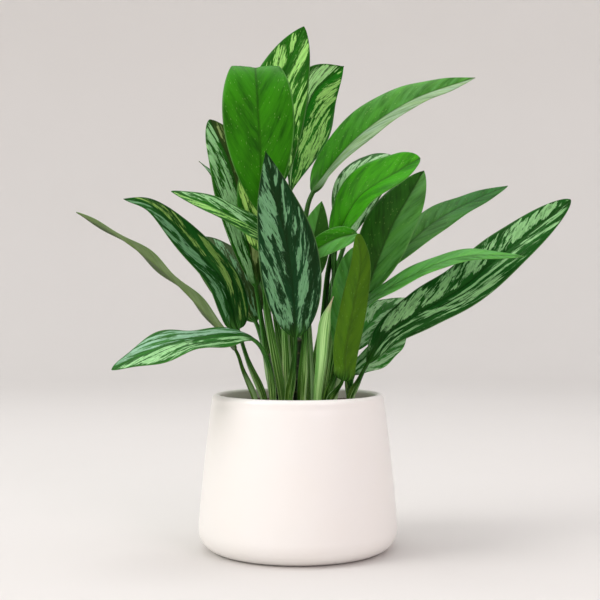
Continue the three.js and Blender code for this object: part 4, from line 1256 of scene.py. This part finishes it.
def paint_numbers(leaf, numbers, settings, seed):
    """The attributes that the leaf materials read, one row for each point of the rings and the two end
    points."""

    def ended(values):
        flat = values.reshape(-1, *values.shape[2:])
        around = values.shape[1]
        return np.concatenate([flat, flat[:1], flat[-around : -around + 1]])

    across = numbers["across"]
    half_side = smooth(across / HALF_BLEND + 0.5)
    seeds = seed * SEED_STEP + np.where(across < 0, 0.0, HALF_SEED_STEP)
    along, reach = numbers["blade"], np.abs(across)

    def placed(*parts):
        return "FLOAT_VECTOR", np.stack(parts, axis=-1)

    def two_sided(names):
        first, second = [np.array(getattr(settings, name)[:]) for name in names]
        return first + (second - first) * half_side[..., None]

    ground = two_sided(leaf["ground"])
    if "far_painted_light_ground" in leaf:
        far = smooth((along - FAR_FROM) / FAR_BLEND)[..., None]
        ground = ground + (two_sided(leaf["far_painted_light_ground"]) - ground) * far
    opaque = np.ones((*across.shape, 1))
    stacked = {
        "vein_place": placed(numbers["vein"], numbers["along_vein"], seeds),
        "blade_place": placed(across, along, numbers["upper"]),
        "stalk_place": placed(numbers["stalk"], numbers["stalk_share"], numbers["around"] + seed),
        "ground": ("FLOAT_COLOR", np.concatenate([ground, opaque], axis=-1)),
    }
    if leaf["look"] == "variegated":
        first, second = leaf["cover"]
        cover = first + (second - first) * half_side
        # Blotches keep clear of the midrib and the margin.
        band = smooth(reach / CLEAR_BAND) * smooth((1 - reach) / CLEAR_BAND)
        ends = smooth(along / CLEAR_FOOT) * smooth((1 - along) / CLEAR_TIP)
        clear = CLEAR_SIDES * (1 - band) + CLEAR_ENDS * (1 - ends)
        level = HALF_COVER + COVER_SPREAD * (cover - 0.5) - clear
        wide, long = leaf["blotch"]
        stacked["pale"] = ("FLOAT_COLOR", np.concatenate([two_sided(leaf["pale"]), opaque], axis=-1))
        stacked["blotch_place"] = placed(numbers["vein"] / wide, numbers["along_vein"] / long, seeds)
        stacked["cover"] = ("FLOAT", level)
    return {label: (kind, ended(values)) for label, (kind, values) in stacked.items()}


def build_leaves(settings):
    materials = {
        "variegated": leaf_material("Variegated leaf with waxy cuticle", settings, True),
        "plain": leaf_material("Plain green leaf with waxy cuticle", settings, False),
    }
    for seed, (node, leaf) in enumerate(LEAVES.items()):
        rings, numbers = leaf_shape(leaf, settings, seed)
        points, faces = tube(rings)
        name = node.replace("leaf_", "grown_leaf_")
        mesh = mesh_of(name, points, faces, paint_numbers(leaf, numbers, settings, seed))
        stand_for(mesh, name, materials[leaf["look"]], node)


# ---- Canes and the new leaf ----


def round_rings(route, shares, widths, depths, sides, ripple=None):
    """Elliptical rings along a route that faces the front."""
    facing = np.tile(np.array([[0.0, -1.0, 0.0]]), (len(shares), 1))
    middle, up, side = route.frames(shares, facing)
    angle = math.pi - (np.arange(sides) + 0.5) * 2 * math.pi / sides
    swell = 1 if ripple is None else ripple(np.asarray(shares)[:, None], angle[None, :])
    across = (np.asarray(widths)[:, None] * np.cos(angle)[None, :] * swell)[..., None]
    outward = (np.asarray(depths)[:, None] * np.sin(angle)[None, :] * swell)[..., None]
    return middle[:, None, :] + side[:, None, :] * across + up[:, None, :] * outward, angle


def build_canes(settings):
    bark = cane_material(settings)
    for node, ((x, y), top) in CANES.items():
        route = Route([(x, y, SOIL_TOP - SOIL_SUNK), (x, y, SOIL_TOP + CANE_STRAIGHT), top])
        shares = np.linspace(0, 1, CANE_STATIONS)
        far = shares * route.length
        ring = np.cos(math.pi * far / CANE_NODE_SPACING) ** 2
        swell = settings.node_swell / MM * (2 * ring**6 - 1)
        past = np.maximum(0, (far - route.length + CANE_TOP) / CANE_TOP)
        end = np.sqrt(np.maximum(0.02, 1 - past**2))
        radii = (CANE_RADII[0] + (CANE_RADII[1] - CANE_RADII[0]) * shares + swell) * end
        rings, angle = round_rings(route, shares, radii, radii, settings.sides)
        points, faces = tube(rings)
        places = np.zeros((len(points), 3))
        turn = np.tile(angle, len(shares))
        places[:-2, 0] = np.cos(turn) * CANE_RADII[0]
        places[:-2, 1] = np.sin(turn) * CANE_RADII[0]
        places[:-2, 2] = np.repeat(far, settings.sides)
        places[-1, 2] = route.length
        mesh = mesh_of("grown_" + node, points, faces, {"cane_place": ("FLOAT_VECTOR", places)})
        stand_for(mesh, "grown_" + node, bark, node)


def build_new_leaf(settings):
    x, y = NEW_LEAF["foot"]
    start, straight = (x, y, SOIL_TOP - SOIL_SUNK), (x, y, SOIL_TOP + STEM_STRAIGHT)
    route = Route([start, straight, *NEW_LEAF["path"], NEW_LEAF["tip"]])
    stations, sides = 100, 40
    shares = np.linspace(0, 1, stations)
    widest, half_width = NEW_LEAF["widest"], NEW_LEAF["width"] / 2
    swelling = NEW_LEAF_FOOT + (1 - NEW_LEAF_FOOT) * smooth(shares / widest)
    tapering = 1 - (1 - NEW_LEAF_TIP) * smooth((shares - widest) / (1 - widest))
    body = np.where(shares < widest, swelling, tapering) * half_width
    step = settings.seam / MM / half_width

    def roll(along, angle):
        """The rolled edge winds up the leaf: the radius falls slowly round and steps out again at the
        seam."""
        part = (angle / (2 * math.pi) + settings.turns * along + NEW_LEAF_SEAM) % 1
        return 1 - step * part

    rings, angle = round_rings(route, shares, body, body * NEW_LEAF_DEPTH, sides, roll)
    points, faces = tube(rings)
    places = np.zeros((len(points), 3))
    places[:-2, 0] = np.tile(np.cos(angle), stations)
    places[:-2, 1] = np.repeat(shares, sides)
    places[:-2, 2] = np.tile(np.sin(angle), stations)
    places[-1, 1] = 1
    mesh = mesh_of("rolled_new_leaf", points, faces, {"roll_place": ("FLOAT_VECTOR", places)})
    stand_for(mesh, "rolled_new_leaf", new_leaf_material(settings), "new_leaf")


# ---- Stage ----

# Metres, but for the camera's place.
CAMERA_PLACE = (1.7, -986, 212)
FLOOR_RADIUS = 3.2
FLOOR_BEND = 1.2
WALL_HEIGHT = 3.4
LIGHTS_AIM = (0, 0, 0.2)
TOP_SHARE = 0.35  # power of the top light beside the key light's


def build_stage(settings):
    """A plain pale floor that curves up all round, soft lights, and the camera."""
    sides, bend = 96, 16
    flat = np.linspace(0.15, FLOOR_RADIUS - FLOOR_BEND, 10)
    angles = np.linspace(0, math.pi / 2, bend + 1)[1:]
    curve_r = FLOOR_RADIUS - FLOOR_BEND + FLOOR_BEND * np.sin(angles)
    curve_z = FLOOR_BEND - FLOOR_BEND * np.cos(angles)
    radii = np.concatenate([flat, curve_r, [FLOOR_RADIUS]])
    levels = np.concatenate([np.zeros(len(flat)), curve_z, [WALL_HEIGHT]])
    points = [(0, 0, 0)]
    for r, z in zip(radii, levels):
        points += circle(r, z, sides)
    faces = [[0, 1 + i, 1 + (i + 1) % sides] for i in range(sides)]
    for row in range(len(radii) - 1):
        for i in range(sides):
            a, b = 1 + row * sides + i, 1 + row * sides + (i + 1) % sides
            faces.append([a, a + sides, b + sides, b])
    mesh = mesh_of("studio_floor", np.array(points) / MM, faces)
    mesh.materials.append(floor_material(settings))
    floor = bpy.data.objects.new("studio_floor", mesh)
    bpy.context.scene.collection.objects.link(floor)

    for name, place, size, watts, tint in (
        ("key_light", (-2.5, -1.1, 2.0), 1.8, settings.key_power, "#FFFEFB"),
        ("fill_light", (1.3, -1.9, 1.2), 1.2, settings.fill_power, "#FFE6F2"),
        ("top_light", (-0.2, 0.2, 2.2), 1.4, settings.key_power * TOP_SHARE, "#FFFFFF"),
        ("front_light", (-0.7, -2.3, 0.5), 1.0, settings.front_power, "#FFFDFC"),
    ):
        lamp = bpy.data.lights.new(name, "AREA")
        lamp.shape = "DISK"
        lamp.size = size
        lamp.energy = watts
        lamp.color = linear(tint)
        light = bpy.data.objects.new(name, lamp)
        light.location = place
        aim = Vector(LIGHTS_AIM) - Vector(place)
        light.rotation_euler = aim.to_track_quat("-Z", "Y").to_euler()
        bpy.context.scene.collection.objects.link(light)

    world = bpy.data.worlds.new("Even studio light")
    world.use_nodes = True
    world.node_tree.nodes.clear()
    pale = {"Color": rgba(linear("#F4F5F8")), "Strength": settings.sky}
    sky = add(world.node_tree, "ShaderNodeBackground", pale)[0]
    add(world.node_tree, "ShaderNodeOutputWorld", {"Surface": sky})
    bpy.context.scene.world = world

    camera = bpy.data.cameras.new("photograph_view")
    camera.lens = settings.lens
    camera.sensor_width = 36
    camera.clip_start = 0.05
    camera.clip_end = 50
    viewer = bpy.data.objects.new("photograph_view", camera)
    viewer.location = Vector(CAMERA_PLACE) * MM
    viewer.rotation_euler = (math.pi / 2, 0, 0)
    bpy.context.scene.collection.objects.link(viewer)
    bpy.context.scene.camera = viewer
    bpy.context.scene.view_settings.view_transform = "Standard"


# ---- Operators and panel ----


class EVERGREEN_OT_pot(bpy.types.Operator):
    """Turn the glazed pot"""

    bl_idname = "evergreen.pot"
    bl_label = "Pot"

    def execute(self, context):
        build_pot(context.scene.evergreen.pot)
        return {"FINISHED"}


class EVERGREEN_OT_soil(bpy.types.Operator):
    """Fill the pot with soil, crumbs and perlite"""

    bl_idname = "evergreen.soil"
    bl_label = "Soil"

    def execute(self, context):
        build_soil(context.scene.evergreen.soil, context.scene.evergreen.pot)
        return {"FINISHED"}


class EVERGREEN_OT_canes(bpy.types.Operator):
    """Grow the short canes"""

    bl_idname = "evergreen.canes"
    bl_label = "Canes"

    def execute(self, context):
        build_canes(context.scene.evergreen.canes)
        return {"FINISHED"}


class EVERGREEN_OT_leaves(bpy.types.Operator):
    """Grow the leaves on their stalks"""

    bl_idname = "evergreen.leaves"
    bl_label = "Leaves"

    def execute(self, context):
        build_leaves(context.scene.evergreen.leaves)
        return {"FINISHED"}


class EVERGREEN_OT_new_leaf(bpy.types.Operator):
    """Roll up the new leaf"""

    bl_idname = "evergreen.new_leaf"
    bl_label = "New leaf"

    def execute(self, context):
        build_new_leaf(context.scene.evergreen.new_leaf)
        return {"FINISHED"}


class EVERGREEN_OT_stage(bpy.types.Operator):
    """Set the floor, the lights and the camera"""

    bl_idname = "evergreen.stage"
    bl_label = "Stage"

    def execute(self, context):
        build_stage(context.scene.evergreen.stage)
        return {"FINISHED"}


OPERATORS = (
    EVERGREEN_OT_stage,
    EVERGREEN_OT_pot,
    EVERGREEN_OT_soil,
    EVERGREEN_OT_canes,
    EVERGREEN_OT_leaves,
    EVERGREEN_OT_new_leaf,
)


class EVERGREEN_PT_panel(bpy.types.Panel):
    """Lists the settings of each piece and what makes it"""

    bl_label = "Potted Chinese evergreen"
    bl_idname = "EVERGREEN_PT_panel"
    bl_space_type = "VIEW_3D"
    bl_region_type = "UI"
    bl_category = "Evergreen"

    def draw(self, context):
        for operator in OPERATORS:
            part = operator.bl_idname.split(".")[1]
            box = self.layout.box()
            box.operator(operator.bl_idname)
            settings = getattr(context.scene.evergreen, part)
            for name in settings.__annotations__:
                box.prop(settings, name)


CLASSES = (
    PotSettings,
    SoilSettings,
    LeafSettings,
    CaneSettings,
    NewLeafSettings,
    StageSettings,
    EvergreenSettings,
    *OPERATORS,
    EVERGREEN_PT_panel,
)


def register():
    for made in CLASSES:
        bpy.utils.register_class(made)
    bpy.types.Scene.evergreen = bpy.props.PointerProperty(type=EvergreenSettings)


def unregister():
    del bpy.types.Scene.evergreen
    for made in reversed(CLASSES):
        bpy.utils.unregister_class(made)


def main():
    register()
    bpy.ops.evergreen.stage()
    bpy.ops.evergreen.pot()
    bpy.ops.evergreen.soil()
    bpy.ops.evergreen.canes()
    bpy.ops.evergreen.leaves()
    bpy.ops.evergreen.new_leaf()


if __name__ == "__main__":
    main()
